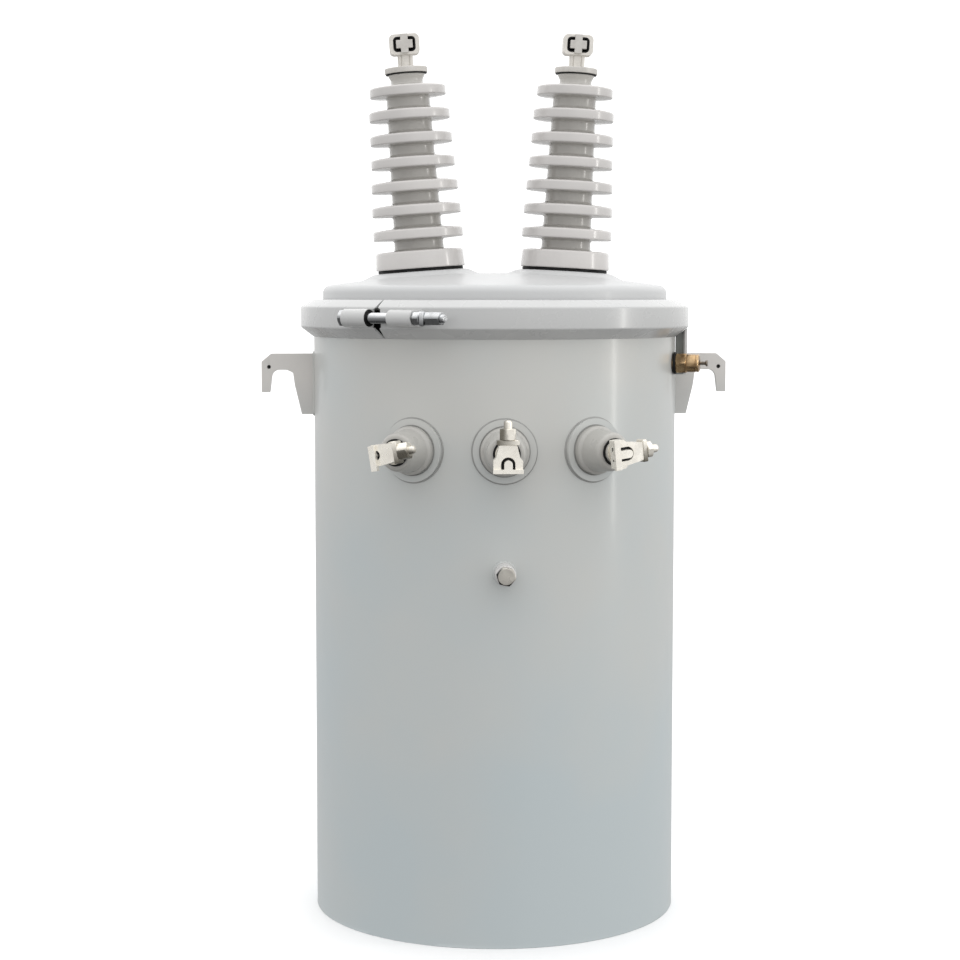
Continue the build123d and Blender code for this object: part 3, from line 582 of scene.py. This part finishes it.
def slab(half_w, half_d, low, high):
    """Rounded oblong plate: its outline drawn in at both faces, closed over its middle."""
    ease = 0.5
    loop = oblong(half_w, half_d, 1.5, 3)
    share = np.array([0, 1 - ease / half_d, 1, 1, 1 - ease / half_d, 0])
    z = np.array([low, low, low + ease, high - ease, high, high]) * MM
    return np.concatenate([loop[None] * share[:, None, None], np.repeat(z[:, None, None], len(loop), 1)], -1)


def run_along(path):
    """Length of the path up to each of its points."""
    return np.concatenate([[0], np.cumsum(np.linalg.norm(np.diff(path, axis=0), axis=1))])


def resample(path, step):
    """The open path cut again into even steps along its length."""
    run = run_along(path)
    at = np.linspace(0, run[-1], int(run[-1] / step) + 1)
    return np.stack([np.interp(at, run, path[:, k]) for k in range(path.shape[1])], -1)


def weld(name, paths, radius):
    """Weld beads along paths on the wall, closed where a path is a loop.

    A bead's radius falls by up to a tenth between its puddles, as a sine with one hump to a puddle.
    """
    puddle, fall = 2.6 * MM, 0.10
    grids = []
    for path, loop in paths:
        hump = np.abs(np.sin(np.pi * run_along(path) / puddle))
        rows = tube(path, radius * MM * (1 - fall + fall * hump), loop, 0.8)
        grids.append(ringed(rows) if loop else capped(rows))
    return piece(name, grids, tank_enamel, sharp=60)


def write_painted_shade(mesh, share):
    """Writes a share of painted shade for each point as the attribute."""
    mesh.attributes.new(PAINTED_SHADE, "FLOAT", "POINT").data.foreach_set("value", share)


def spots_of(mesh):
    """The mesh's points as rows."""
    spots = np.empty(len(mesh.vertices) * 3)
    mesh.vertices.foreach_get("co", spots)
    return spots.reshape(-1, 3)


def paint_low_left_shade(obj, place, radius, rim=0.0, reach=0.10):
    """Painted shade on a bolt: a smooth step from 0 to 1 towards the low left side of its axis, which
    starts the share reach of its radius (mm) on the other side, and only beyond the share rim of that radius."""
    turn = np.array(place)
    axis = turn[:3, 2]
    away = spots_of(obj.data) - turn[:3, 3]
    away -= np.outer(away @ axis, axis)
    side = np.clip((-0.7 * (away[:, 0] + away[:, 2]) / (radius * MM) + reach) / 0.55, 0, 1)
    far = np.clip((np.linalg.norm(away, axis=1) / (radius * MM) - rim) / 0.08, 0, 1)
    write_painted_shade(obj.data, smooth(side * far))


# ---------------------------------------------------------------- tank
def tank_shell():
    """Rolled wall: a turned ring, drawn in by up to 0.25 mm in slow waves round and up it, so that light
    moves over it as on sheet."""
    r, height = TANK_R / MM, RIM_Z / MM
    outer = [(r, z) for z in np.linspace(4, height - 2, 44)]
    points = [(r - TANK_WALL, height), (r - TANK_WALL, 0), (r, 0)] + outer + [(r, height)]
    radii = [0, 0.8, 0.8] + [0] * len(outer) + [0]

    def waves(angle, radius, z):
        slow = np.sin(2 * angle + 3 * z) + np.sin(3 * angle - 7 * z + 1.0) + np.sin(5 * angle + 11 * z)
        return radius - np.where(radius > TANK_R - 1e-6, (3 + slow) * TANK_WAVE * MM, 0)

    wall = turned(rounded(points, radii, closed=True), 288, waves)
    piece("tank_shell", [ringed(wall)], tank_enamel, replaces=("tank_wall",))


def tank_seams():
    """Weld beads: one up the wall behind, one round the bottom plate inside the rim."""
    z = np.linspace(6 * MM, RING_FOOT - 3 * MM, 420)
    upright = wall_spot(SEAM_AZ, 0 * z, z, 0)
    around = round_tank(TANK_R - TANK_WALL * MM, angles(500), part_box("tank_bottom")[0].z)
    weld("tank_seam_welds", [(upright, False), (around, True)], 2.2)


def cover_skin():
    """Domed cover: its outline turned round the axis, from the centre out to the brim, back under it, and
    in along the dome one sheet lower; round each high voltage bushing the height slides from the dome to
    the plane of the leaning pad by a smooth step."""
    side, brim = TANK_R / MM - COVER_SIDE_IN, TANK_R / MM + COVER_BRIM
    crown, top = CROWN_Z / MM, BRIM_TOP / MM
    shoulder, under = top + COVER_SIDE_H, top - COVER_T
    r = np.linspace(0, side - 10, 74)
    dome = np.stack([r, crown - COVER_RISE * (r / side) ** 2], 1)
    points = [
        tuple(dome[-1]),
        (side - 9, dome[-1, 1] - 0.15),
        (side, shoulder - 0.3),
        (side, top),
        (brim, top),
        (brim, under),
        (side - 6, under),
    ]
    bend = rounded(points, [0, 0, 9, 2.2, 0.8, 0.4, 0], 8) / MM
    rows = turned(np.concatenate([dome, bend[1:]]) * MM, 216)
    height = rows[..., 2]
    raised = height > (shoulder - 6) * MM
    for x, lean in HV_SIDES.values():
        dx, dy = rows[..., 0] - x, rows[..., 1]
        pad = PAD_Z - dx * math.tan(lean)
        away = np.sqrt((dx / math.cos(lean)) ** 2 + dy ** 2) / MM
        share = smooth(np.clip((PAD_FOOT_R - away) / (PAD_FOOT_R - PAD_FLAT_R), 0, 1))
        height = np.where(raised, height + (pad - height) * share, height)
    rows[..., 2] = height
    back = rows[: len(dome)][::-1].copy()
    back[..., 2] -= COVER_T * MM
    skin = capped(np.concatenate([rows, back]))
    piece("cover_dome", [skin], cover_enamel, sharp=50, replaces=("cover",))


def clamp_ring():
    """Rolled channel round the rim: its bent section, one sheet thick, carried round the axis; each row
    starts and ends at the split's half width for its height."""
    foot, low, high, top = (v / MM for v in (RING_FOOT, FACE_LOW, FACE_HIGH, RING_TOP))
    face = RING_R / MM
    bend = face - RING_SLOPE_W
    points = [(TANK_R / MM + 0.6, foot), (face, low), (face, high), (bend, top), (bend - RING_LIP_W, top)]
    path = rounded(points, [0, 3.2, 3.2, 4.5, 0], 6)
    along = np.gradient(path, axis=0)
    along /= np.linalg.norm(along, axis=1)[:, None]
    inner = path + np.stack([-along[:, 1], along[:, 0]], 1) * RING_T * MM
    section = np.concatenate([path, inner[::-1]])
    heights = np.concatenate([path[:, 1], path[::-1, 1]]) / MM
    levels = [foot + 2, low + 1, low + 4, high - 4, high - 1, high + 4]
    edge, low_w, face_w, high_w = 0.8, 4.2, 12, 2.2
    split = np.interp(heights, levels, [edge, low_w, face_w, face_w, high_w, edge])
    half = np.arcsin(split * MM / RING_R)[:, None]
    turn = SPLIT_AZ + half + np.linspace(0, 1, 361)[None, :] * (2 * np.pi - 2 * half)
    rows = round_tank(section[:, :1], turn, section[:, 1:])
    n, m = rows.shape[:2]
    i = np.arange(len(path) - 1)
    end = np.stack([i, i + 1, n - 2 - i, n - 1 - i], 1) * m
    faces = np.concatenate([grid_faces(n, m, True, False), end, end[:, ::-1] + m - 1])
    mesh = bpy.data.meshes.new("clamp_ring_channel")
    mesh.from_pydata(rows.reshape(-1, 3).tolist(), [], faces.tolist())
    settle("clamp_ring_channel", mesh, ring_enamel, 40, ("clamp_ring",))


def split_shade_strip():
    """Painted shade behind the ring's split: black, an oblong section carried a short way round the tank."""
    turn = SPLIT_AZ + np.linspace(-0.085, 0.085, 40)[None, :]
    near, far = TANK_R + 2.4 * MM, TANK_R + 3.4 * MM
    low, high = RING_FOOT + 4.5 * MM, RING_TOP - 6 * MM
    section = np.array([(near, low), (far, low), (far, high), (near, high)])
    strip = round_tank(section[:, :1], turn, section[:, 1:])
    piece("split_shade_strip", [capped(strip.transpose(1, 0, 2))], black, sharp=30)


def ring_closure():
    """Closing bolt with its head, nuts, washer and plate: hexagons and turned outlines along one rod,
    threaded at its end, in mm from the middle of the closure; a black ring in the left barrel's mouth is
    painted shade."""
    place = ring_place()
    shank = plain([(0, -46), (6, -46), (6, 21), (0, 21)], [0, 0, 0.6, 0], 40)
    rod = [capped(g, place) for g in (shank, threaded(4.6, 20, 88, 1.25), hexagon(17, -50.5, -45))]
    bolt = piece("ring_bolt_threaded", rod, zinc, sharp=28, replaces=("ring_bolt",))
    paint_low_left_shade(bolt, place, 7.5)
    washer = plain([(0, 57), (8.4, 57), (8.4, 59), (0, 59)], [0, 0.5, 0.5, 0], 48)
    plate = slab(7.25, 7.25, 59, 64.5)
    stack = [capped(g, place) for g in (hexagon(13.5, 48, 57), washer, plate, hexagon(13.5, 64.5, 84))]
    nuts = piece("ring_nuts_stack", stack, zinc, sharp=28, replaces=("ring_nuts",))
    paint_low_left_shade(nuts, place, 7.5)
    # painted shade: a black ring in the left barrel's mouth
    flanged = [(6.1, -13.8), (8.2, -13.8), (8.2, -12.95), (9.3, -12.95), (9.3, -12.4), (6.1, -12.4)]
    mouth = hollow(flanged, [0, 0, 0, 0, 0.25, 0], 64)
    piece("barrel_mouth_shade_ring", [ringed(mouth, place)], black)
    for side in ("left", "right"):
        dressed("ring_barrel_" + side, ring_enamel, 0.7)


# ---------------------------------------------------------------- high voltage, mm up from the pad
HV_SHEDS = (52.2, 51.6, 50.3, 48.6, 47.6, 46.8, 44.0)    # rim radii, from the lowest up
HV_PITCH = 27.2
HV_FIRST = 44.5             # middle of the lowest shed
HV_SHED_DOWN = 6.6          # foot of a shed's rim below its middle
HV_SHED_H = 10.85           # height of the rim
HV_SHED_DROP = 1.2          # fall of its underside from rim to core
HV_SHED_RISE = 2.5          # rise of its top from rim to core
HV_GASKET_T = 3.5
HV_GASKET_R = 49.3
HV_TAIL_R = 27.0            # tail inside the gasket
HV_BASE_R = 51.8            # base flange
HV_BASE_TOP = 24.0
HV_CORE_LOW_R = 28.5
HV_CORE_HIGH_R = 24.5
HV_WAIST_R = 18.6           # narrowest part of the neck
HV_NECK_R = 21.8            # its flared top
HV_TOP = HV_FIRST + HV_PITCH * (len(HV_SHEDS) - 1) + 18.7    # the neck ends over the last shed
CAP_R = 24.6
CAP_LOW = HV_TOP + 1.3      # on the seal
CAP_TOP = CAP_LOW + 6.5
CAGE_MID = CAP_TOP + 14.3 + 23.6 / 2    # on the clamp's stem, half the clamp's height up


def hv_outline():
    """Outline of the ribbed porcelain: base flange, then for each shed an underside, a rounded rim and a
    top sloping into the core, and the flared neck; the core narrows evenly from the flange up."""
    def core(height):
        share = (height - HV_BASE_TOP) / (HV_TOP - 8 - HV_BASE_TOP)
        return HV_CORE_LOW_R - (HV_CORE_LOW_R - HV_CORE_HIGH_R) * share

    points = [(0, 2.0), (HV_TAIL_R, 2.0), (HV_TAIL_R, HV_GASKET_T), (HV_BASE_R, HV_GASKET_T)]
    points += [(HV_BASE_R - 1.2, HV_BASE_TOP), (core(HV_BASE_TOP) + 0.5, HV_BASE_TOP + 0.7)]
    radii = [0, 0, 0, 1.5, 3.0, 3.0]
    for i, r in enumerate(HV_SHEDS):
        low = HV_FIRST + HV_PITCH * i - HV_SHED_DOWN
        high = low + HV_SHED_H
        points += [(core(low), low - HV_SHED_DROP), (r, low), (r, high)]
        radii += [2.5, 1.6, 2.5]
        if i < len(HV_SHEDS) - 1:
            points.append((core(high), high + HV_SHED_RISE))
            radii.append(3.5)
    points += [(HV_WAIST_R, high + HV_SHED_RISE), (HV_WAIST_R, HV_TOP - 6), (HV_NECK_R, HV_TOP), (0, HV_TOP)]
    radii += [3.0, 6.0, 0.6, 0]
    return points, radii


def paint_groove_shade(obj, place):
    """Painted shade in a bushing's grooves: 0 at the rims, rising by a smooth step to 1 at the core, from
    its distance to the axis; the base flange has none."""
    spots = placed(spots_of(obj.data), place.inverted())
    rim, core = 46, 29
    share = np.clip((rim - np.hypot(spots[:, 0], spots[:, 1]) / MM) / (rim - core), 0, 1)
    write_painted_shade(obj.data, smooth(share) * (spots[:, 2] > (HV_BASE_TOP - 2) * MM))


def window_shade_cup(word, place):
    """Painted shade in the clamp's window: a black cup, a rounded oblong carried from its back to its mouth,
    and in again, 1.2 mm smaller, to a floor 0.9 mm thick."""
    outer = oblong(12.5, 8.4, 4.3, 5)
    inner = outer * np.array([11.3 / 12.5, 7.2 / 8.4])
    middle = outer * 0
    back, floor_in, mouth = 4.8, 3.9, -9.6
    layers = [(middle, back), (outer, back), (outer, mouth)]
    layers += [(inner, mouth), (inner, floor_in), (middle, floor_in)]
    rows = []
    for loop, depth in layers:
        rows.append(np.stack([loop[:, 0], 0 * loop[:, 0] + depth * MM, loop[:, 1] + CAGE_MID * MM], -1))
    piece("window_shade_cup_" + word, [capped(np.array(rows), place)], black, sharp=40)


def hv_bushings():
    """Two leaning bushings: turned porcelain on a turned gasket, a turned cap on its seal, and the clamp
    with its keeper in its window."""
    body = turned(rounded(*hv_outline(), 7), 128)
    cap = plain([(0, CAP_LOW), (CAP_R, CAP_LOW), (CAP_R, CAP_TOP), (0, CAP_TOP)], [0, 0.8, 1.2, 0])
    rim = CAP_R - 0.8
    seal = plain([(0, HV_TOP), (rim, HV_TOP), (rim, CAP_LOW), (0, CAP_LOW)], [0, 0.5, 0.5, 0])
    bore = HV_TAIL_R + 0.3
    ring = [(bore, 0), (HV_GASKET_R, 0), (HV_GASKET_R, HV_GASKET_T), (bore, HV_GASKET_T)]
    gasket = hollow(ring, [0, 1.2, 1.2, 0])
    for side, word in ((-1, "left"), (1, "right")):
        place = hv_place(side)
        skin = piece(
            "porcelain_" + word,
            [capped(body, place)],
            hv_glaze,
            sharp=50,
            replaces=("hv_bushing_" + word,),
        )
        paint_groove_shade(skin, place)
        foot = [ringed(gasket, place)]
        piece("base_gasket_" + word, foot, black, replaces=("hv_gasket_" + word,))
        piece("cap_" + word, [capped(cap, place)], cap_metal, replaces=("hv_cap_" + word,))
        dressed("hv_terminal_" + word, cage_metal, 0.5)
        dressed("hv_keeper_" + word, cap_metal, 0.6)
        # painted shade: a black cup in the clamp's window
        window_shade_cup(word, place)
    seals = [capped(seal, hv_place(side)) for side in HV_SIDES]
    piece("cap_seals", seals, black, replaces=("hv_seals",))


# ---------------------------------------------------------------- low voltage, mm out from the seat
LV_TAIL_R = 19.0            # tail through the wall
LV_BODY_R = 26.5            # foot of the porcelain
LV_STEP = 7.0               # length of that foot
LV_MID_R = 23.5             # porcelain past the foot
LV_FRONT_R = 20.5           # and at its front
LV_FACE = 37.0              # front of the porcelain
LV_SEAL_T = 2.0
LV_COLLAR_R = 34.5
JOINT_OUT = 0.4             # sealant outside the foot and the collar
LV_BOLT_OUT = 58.5          # axis of the clamp bolt, in the middle of the clamp
SLOT_FOOT = -14.3           # lower end of a clamp's slot
PLATE_T = 5.2               # washer plate on the clamp
# for each clamp its turn about the stud in degrees, half width and top of its slot, its top, length of its
# nut and tip of its bolt
LV_CLAMPS = {
    "left": (-80, 5.5, -5.0, 11.2, 12.0, 35.0),
    "centre": (0, 7.5, -1.4, 11.2, 12.0, 37.2),
    "right": (-84, 7.5, 6.6, 19.2, 7.0, 41.4),
}


def slot_shade(half, top):
    """Painted shade in a clamp's slot, at its back: black, its own outline less 0.15 mm, 5.7 mm thick."""
    half, high = half - 0.15, top - 0.15
    corners = [(-half, SLOT_FOOT), (half, SLOT_FOOT), (half, high), (-half, high)]
    loop = rounded(corners, [0.5, 0.5, half - 0.05, half - 0.05], 12, True)
    middle = 0 * loop + (0, (high + SLOT_FOOT) / 2 * MM)
    back, front = 55.1, 60.8
    layers = ((middle, back), (loop, back), (loop, front), (middle, front))
    return np.array([np.c_[ring, 0 * ring[:, 0] + z * MM] for ring, z in layers])


def clamp_bolt(head, length, end, slot_top):
    """Clamp bolt up from the stud's axis: rod threaded down to the slot, plain tip, nut and washer plate."""
    nut = head + PLATE_T
    tip = plain([(0, end - 10), (4.5, end - 10), (4.5, end), (0, end)], [0, 0, 3.0, 0], 40)
    rod = threaded(4.6, slot_top, end - 8, 1.5)
    return rod, tip, hexagon(16.5, nut, nut + length, 22), slab(12, 6.5, head, nut)


def lv_bushings():
    """Three bushings: turned porcelain on a collar, with a turned seal, the clamp on its stud and its bolt;
    the sealant is a bead round the foot of each bushing and one round each collar."""
    points = [(0, -10), (LV_TAIL_R, -10), (LV_TAIL_R, 0), (LV_BODY_R, 0), (LV_BODY_R, LV_STEP)]
    points += [(LV_MID_R, LV_STEP + 2), (LV_FRONT_R, LV_FACE), (0, LV_FACE)]
    body = plain(points, [0, 0, 0, 1.0, 3.0, 2.5, 5.0, 0], 112)
    front = LV_FACE + LV_SEAL_T
    seal = plain([(0, LV_FACE), (14.8, LV_FACE), (14.8, front), (0, front)], [0, 0.8, 0.8, 0], 64)
    t = angles(120)
    foot, edge = (LV_BODY_R + JOINT_OUT) * MM, (LV_COLLAR_R + JOINT_OUT) * MM
    round_foot = np.stack([foot * np.cos(t), foot * np.sin(t), 0 * t + 0.3 * MM], -1)
    seals, lines, faint = [], [], []
    for az, word in zip((-LV_AZ, 0, LV_AZ), LV_CLAMPS):
        turn, half, slot_top, head, length, end = LV_CLAMPS[word]
        place = outward(az, TANK_R + LV_OUT, LV_Z)
        spin = place @ Matrix.Rotation(math.radians(turn), 4, "Z")
        skin = [capped(body, place)]
        piece("lv_porcelain_" + word, skin, lv_glaze, replaces=("lv_bushing_" + word,))
        seals += [capped(seal, place), capped(slot_shade(half, slot_top), spin)]
        dressed("lv_collar_" + word, tank_enamel, 0.6)
        dressed("lv_terminal_" + word, tin, 0.6)
        at = spin @ Matrix.Translation((0, 0, LV_BOLT_OUT * MM)) @ Z_TO_Y
        bolt = piece(
            "lv_clamp_bolt_" + word,
            [capped(g, at) for g in clamp_bolt(head, length, end, slot_top)],
            bolt_tin,
            sharp=28,
            replaces=("lv_bolt_" + word,),
        )
        paint_low_left_shade(bolt, at, 9.0)
        lines.append(ringed(tube(placed(round_foot, place), 0.9 * MM, True)))
        round_collar = wall_spot(az, TANK_R * np.arcsin(edge * np.cos(t) / TANK_R), edge * np.sin(t), LV_Z)
        faint.append(ringed(tube(round_collar, 1.15 * MM, True)))
    # the stud seals are black rubber; the black in the slots joined with them is painted shade
    piece("lv_stud_seals_and_slot_shades", seals, black, replaces=("lv_seals",))
    piece("lv_joint_seals", lines, dark_joint, sharp=60)
    piece("lv_collar_seals", faint, joint, sharp=60)
    dressed("lv_tongues", tin, 0.6)


# ---------------------------------------------------------------- small fittings, mm out from the wall
def earth_stud():
    """Earth boss and bolt: a turned boss with a shallow recess, a hexagon head on a threaded shank, and a
    round weld at the wall."""
    place = outward(0, TANK_R, EARTH_Z)
    r, face, bore = 11.2, 27, 6.3
    points = [(0, -3), (r, -3), (r, face), (bore, face), (bore, face - 2), (0, face - 2)]
    boss = [capped(plain(points, [0, 0, 1.0, 0.3, 0, 0], 72), place)]
    piece("earth_boss_turned", boss, boss_enamel, replaces=("earth_boss",))
    head = hexagon(19, face, face + 7.5, 48, 0.45)
    stud = [capped(g, place) for g in (head, threaded(6, face - 19, face + 1, 1.75))]
    bolt = piece("earth_bolt_hex", stud, dull_zinc, sharp=28, replaces=("earth_bolt",))
    paint_low_left_shade(bolt, place, 9.5, 0.88, 0.5)
    t, foot = angles(90), (r + 0.4) * MM
    weld("earth_boss_weld", [(wall_spot(0, foot * np.cos(t), foot * np.sin(t), EARTH_Z), True)], 1.7)


def relief_valve():
    """Relief valve along its own axis: washer, chamfered hexagon, barrel with a groove and pull knob, all of
    them turned outlines but the hexagon."""
    place = outward(RELIEF_AZ, TANK_R + 0.5 * MM, RELIEF_Z)
    washer = hollow([(9.3, 0), (12.6, 0), (12.6, 3.2), (9.3, 3.2)], [0, 1.0, 1.0, 0], 64)
    seat = [ringed(washer, place)]
    piece("relief_washer_round", seat, black, replaces=("relief_washer",))
    body = [(0, 15.6), (10.1, 15.6), (10.3, 16.4), (10.3, 25.4)]
    groove = [(9.6, 25.6), (9.6, 26.4), (10.2, 26.7)]
    mouth = [(10.2, 28.6), (9.0, 29.7), (4.2, 29.7), (4.0, 29.2), (0, 29.2)]
    barrel = plain(body + groove + mouth, [0, 0.3, 0.3, 0.3, 0.2, 0.2, 0.4, 0.6, 0.5, 0.2, 0.2, 0], 80)
    core = plain([(0, -8), (9, -8), (9, 4), (0, 4)], [0, 0, 0, 0], 48)
    grids = [capped(g, place) for g in (hexagon(21.8, 3.2, 15.7), barrel, core)]
    piece("relief_valve_brass", grids, brass, sharp=28, replaces=("relief_valve",))
    points = [(0, 28.5), (2.0, 28.5), (2.0, 36.8), (3.6, 37.2), (3.6, 39.2), (0, 39.2)]
    knob = [capped(plain(points, [0, 0, 1.0, 0.5, 0.6, 0], 40), place)]
    piece("relief_pull_knob", knob, aged, replaces=("relief_pull",))


def lifting_lugs():
    """Lifting lugs with a weld round each root, a rounded oblong on the wall, and painted shade in the small
    blind hole of each hook, a short black cylinder; the thin bracket stands behind the right one."""
    holes, wide = [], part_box("lifting_lug_right")[1].x
    half, head, foot = 4.6, 0.5, -70.3
    root = rounded([(-half, head), (-half, foot), (half, foot), (half, head)], [2, 3.5, 3.5, 2], 8, True)
    path = resample(np.concatenate([root, root[:1]]), 0.9 * MM)[:-1]
    hole_shade = plain([(0, -5), (2.1, -5), (2.1, -1.2), (0, -1.2)], [0] * 4, 32)
    for side, word in ((-1, "left"), (1, "right")):
        dressed("lifting_lug_" + word, lug_enamel, 0.7)
        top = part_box("lifting_lug_" + word)[1].z
        weld("lug_weld_" + word, [(wall_spot(side * math.pi / 2, path[:, 0], path[:, 1], top), True)], 2.4)
        at = Matrix.Translation((side * (wide - 8.7 * MM), -4 * MM, top - 15.58 * MM))
        holes.append(capped(hole_shade, at @ Matrix.Rotation(math.pi / 2, 4, "X")))
    # painted shade: black in the lugs' small holes
    piece("lug_hole_shades", holes, black)
    dressed("ring_bracket", bracket_shade_enamel, 0.5)


def support_lugs():
    """Support lugs behind the tank, with a weld up both sides of each."""
    paths = []
    for word in ("upper", "lower"):
        node = "support_lug_" + word
        dressed(node, tank_enamel, 1.0)
        low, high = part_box(node)
        z = np.linspace(low.z + 1 * MM, high.z - 1 * MM, 110)
        x = TANK_R * math.asin((high.x + 1.0 * MM) / TANK_R)
        paths += [(wall_spot(math.pi, 0 * z + side * x, z, 0), False) for side in (-1, 1)]
    weld("support_lug_welds", paths, 3.0)


def plain_nodes():
    """CAD nodes whose shape is right as they are get their finish on their own slots."""
    for node, coat in (("tank_bottom", tank_enamel), ("tank_flange", tank_enamel), ("cover_gasket", black)):
        mesh = nodes[node].data
        mesh.materials.clear()
        mesh.materials.append(coat)


tank_shell()
tank_seams()
cover_skin()
clamp_ring()
split_shade_strip()
ring_closure()
hv_bushings()
lv_bushings()
earth_stud()
relief_valve()
lifting_lugs()
support_lugs()
plain_nodes()


# ---------------------------------------------------------------- studio
FLOOR_HALF = 400.0
# azimuth and height of each soft lobe of light in degrees, how narrow it is, and its gain
LOBES = ((30, 12, 2, 0.533), (-90, 15, 3, 0.355), (90, 15, 3, 0.06), (180, 15, 2, 0.719), (0, 90, 3, 1.383))


def floor():
    """Pale floor so wide that its edge lies at the horizon; it takes shadow but throws no light back."""
    paint = Finish("pale floor")
    paint.put("Base Color", paint.mix(paint.clouds(3, 2), (0.9, 0.9, 0.9), (0.88, 0.88, 0.885)))
    paint.put("Roughness", 0.7)
    mesh = bpy.data.meshes.new("floor")
    corners = [(x * FLOOR_HALF, y * FLOOR_HALF, 0) for x, y in ((-1, -1), (1, -1), (1, 1), (-1, 1))]
    mesh.from_pydata(corners, [], [(0, 1, 2, 3)])
    mesh.materials.append(paint.material)
    obj = bpy.data.objects.new("floor", mesh)
    bpy.context.scene.collection.objects.link(obj)
    obj.visible_diffuse = False
    obj.visible_glossy = False


def right_strip():
    """Upright strip of soft light on the right, turned to the tank's axis."""
    place, target = Vector((1.67, -0.52, 0.75)), Vector((0, 0, 0.62))
    lamp = bpy.data.lights.new("right strip", "AREA")
    lamp.shape = "RECTANGLE"
    lamp.size = 0.10
    lamp.size_y = 0.9
    lamp.energy = 3.2
    lamp.color = (1.0, 0.99, 0.95)
    obj = bpy.data.objects.new("right strip", lamp)
    obj.location = place
    obj.rotation_mode = "QUATERNION"
    obj.rotation_quaternion = (place - target).to_track_quat("Z", "Y")
    bpy.context.scene.collection.objects.link(obj)


def sky():
    """Studio surroundings: bright above, dimmer below and dark straight down.

    Each lobe adds its gain times a power of the cosine of the angle from its own direction.
    """
    world = bpy.data.worlds.new("studio")
    bpy.context.scene.world = world
    world.use_nodes = True
    room = Nodes(world.node_tree)
    where = room.add("ShaderNodeTexCoord").outputs["Generated"]
    xyz = room.add("ShaderNodeSeparateXYZ")
    room.feed(xyz.inputs[0], where)
    total = 1.0
    for az, rise, power, gain in LOBES:
        az, rise = math.radians(az), math.radians(rise)
        toward = room.add("ShaderNodeVectorMath")
        toward.operation = "DOT_PRODUCT"
        room.feed(toward.inputs[0], where)
        aim = (math.sin(az) * math.cos(rise), -math.cos(az) * math.cos(rise), math.sin(rise))
        toward.inputs[1].default_value = aim
        lobe = room.work_out("POWER", room.work_out("MAXIMUM", toward.outputs["Value"], 0.0), power)
        total = room.work_out("MULTIPLY_ADD", lobe, gain, total)
    up = room.ramp(xyz.outputs["Z"], -0.10, 0.02, curve="SMOOTHSTEP")
    below = room.ramp(xyz.outputs["Z"], -0.80, -0.45, 0.18, 0.80, curve="SMOOTHSTEP")
    above = room.work_out("MULTIPLY", total, up)
    light = room.work_out("MULTIPLY_ADD", below, room.work_out("SUBTRACT", 1.0, up), above)
    back = room.add("ShaderNodeBackground")
    room.feed(back.inputs["Strength"], light)
    room.feed(room.add("ShaderNodeOutputWorld").inputs["Surface"], back.outputs["Background"])


def camera():
    """Camera in front of the tank, a little to the left and above its middle, looking slightly down."""
    cam = bpy.data.cameras.new("camera")
    cam.sensor_width = 36.0
    cam.lens = 81.81
    cam.clip_start = 0.05
    cam.clip_end = 100.0
    obj = bpy.data.objects.new("camera", cam)
    bpy.context.scene.collection.objects.link(obj)
    az, far, height = math.radians(-3.0), 2.5498, 0.7143
    down, aside = math.radians(4.84), math.radians(0.38081)
    obj.location = (far * math.sin(az), -far * math.cos(az), height)
    obj.rotation_euler = (math.pi / 2 - down, 0, az + aside)
    bpy.context.scene.camera = obj


floor()
sky()
right_strip()
camera()
scene = bpy.context.scene
scene.view_settings.view_transform = "Standard"
scene.view_settings.look = "None"
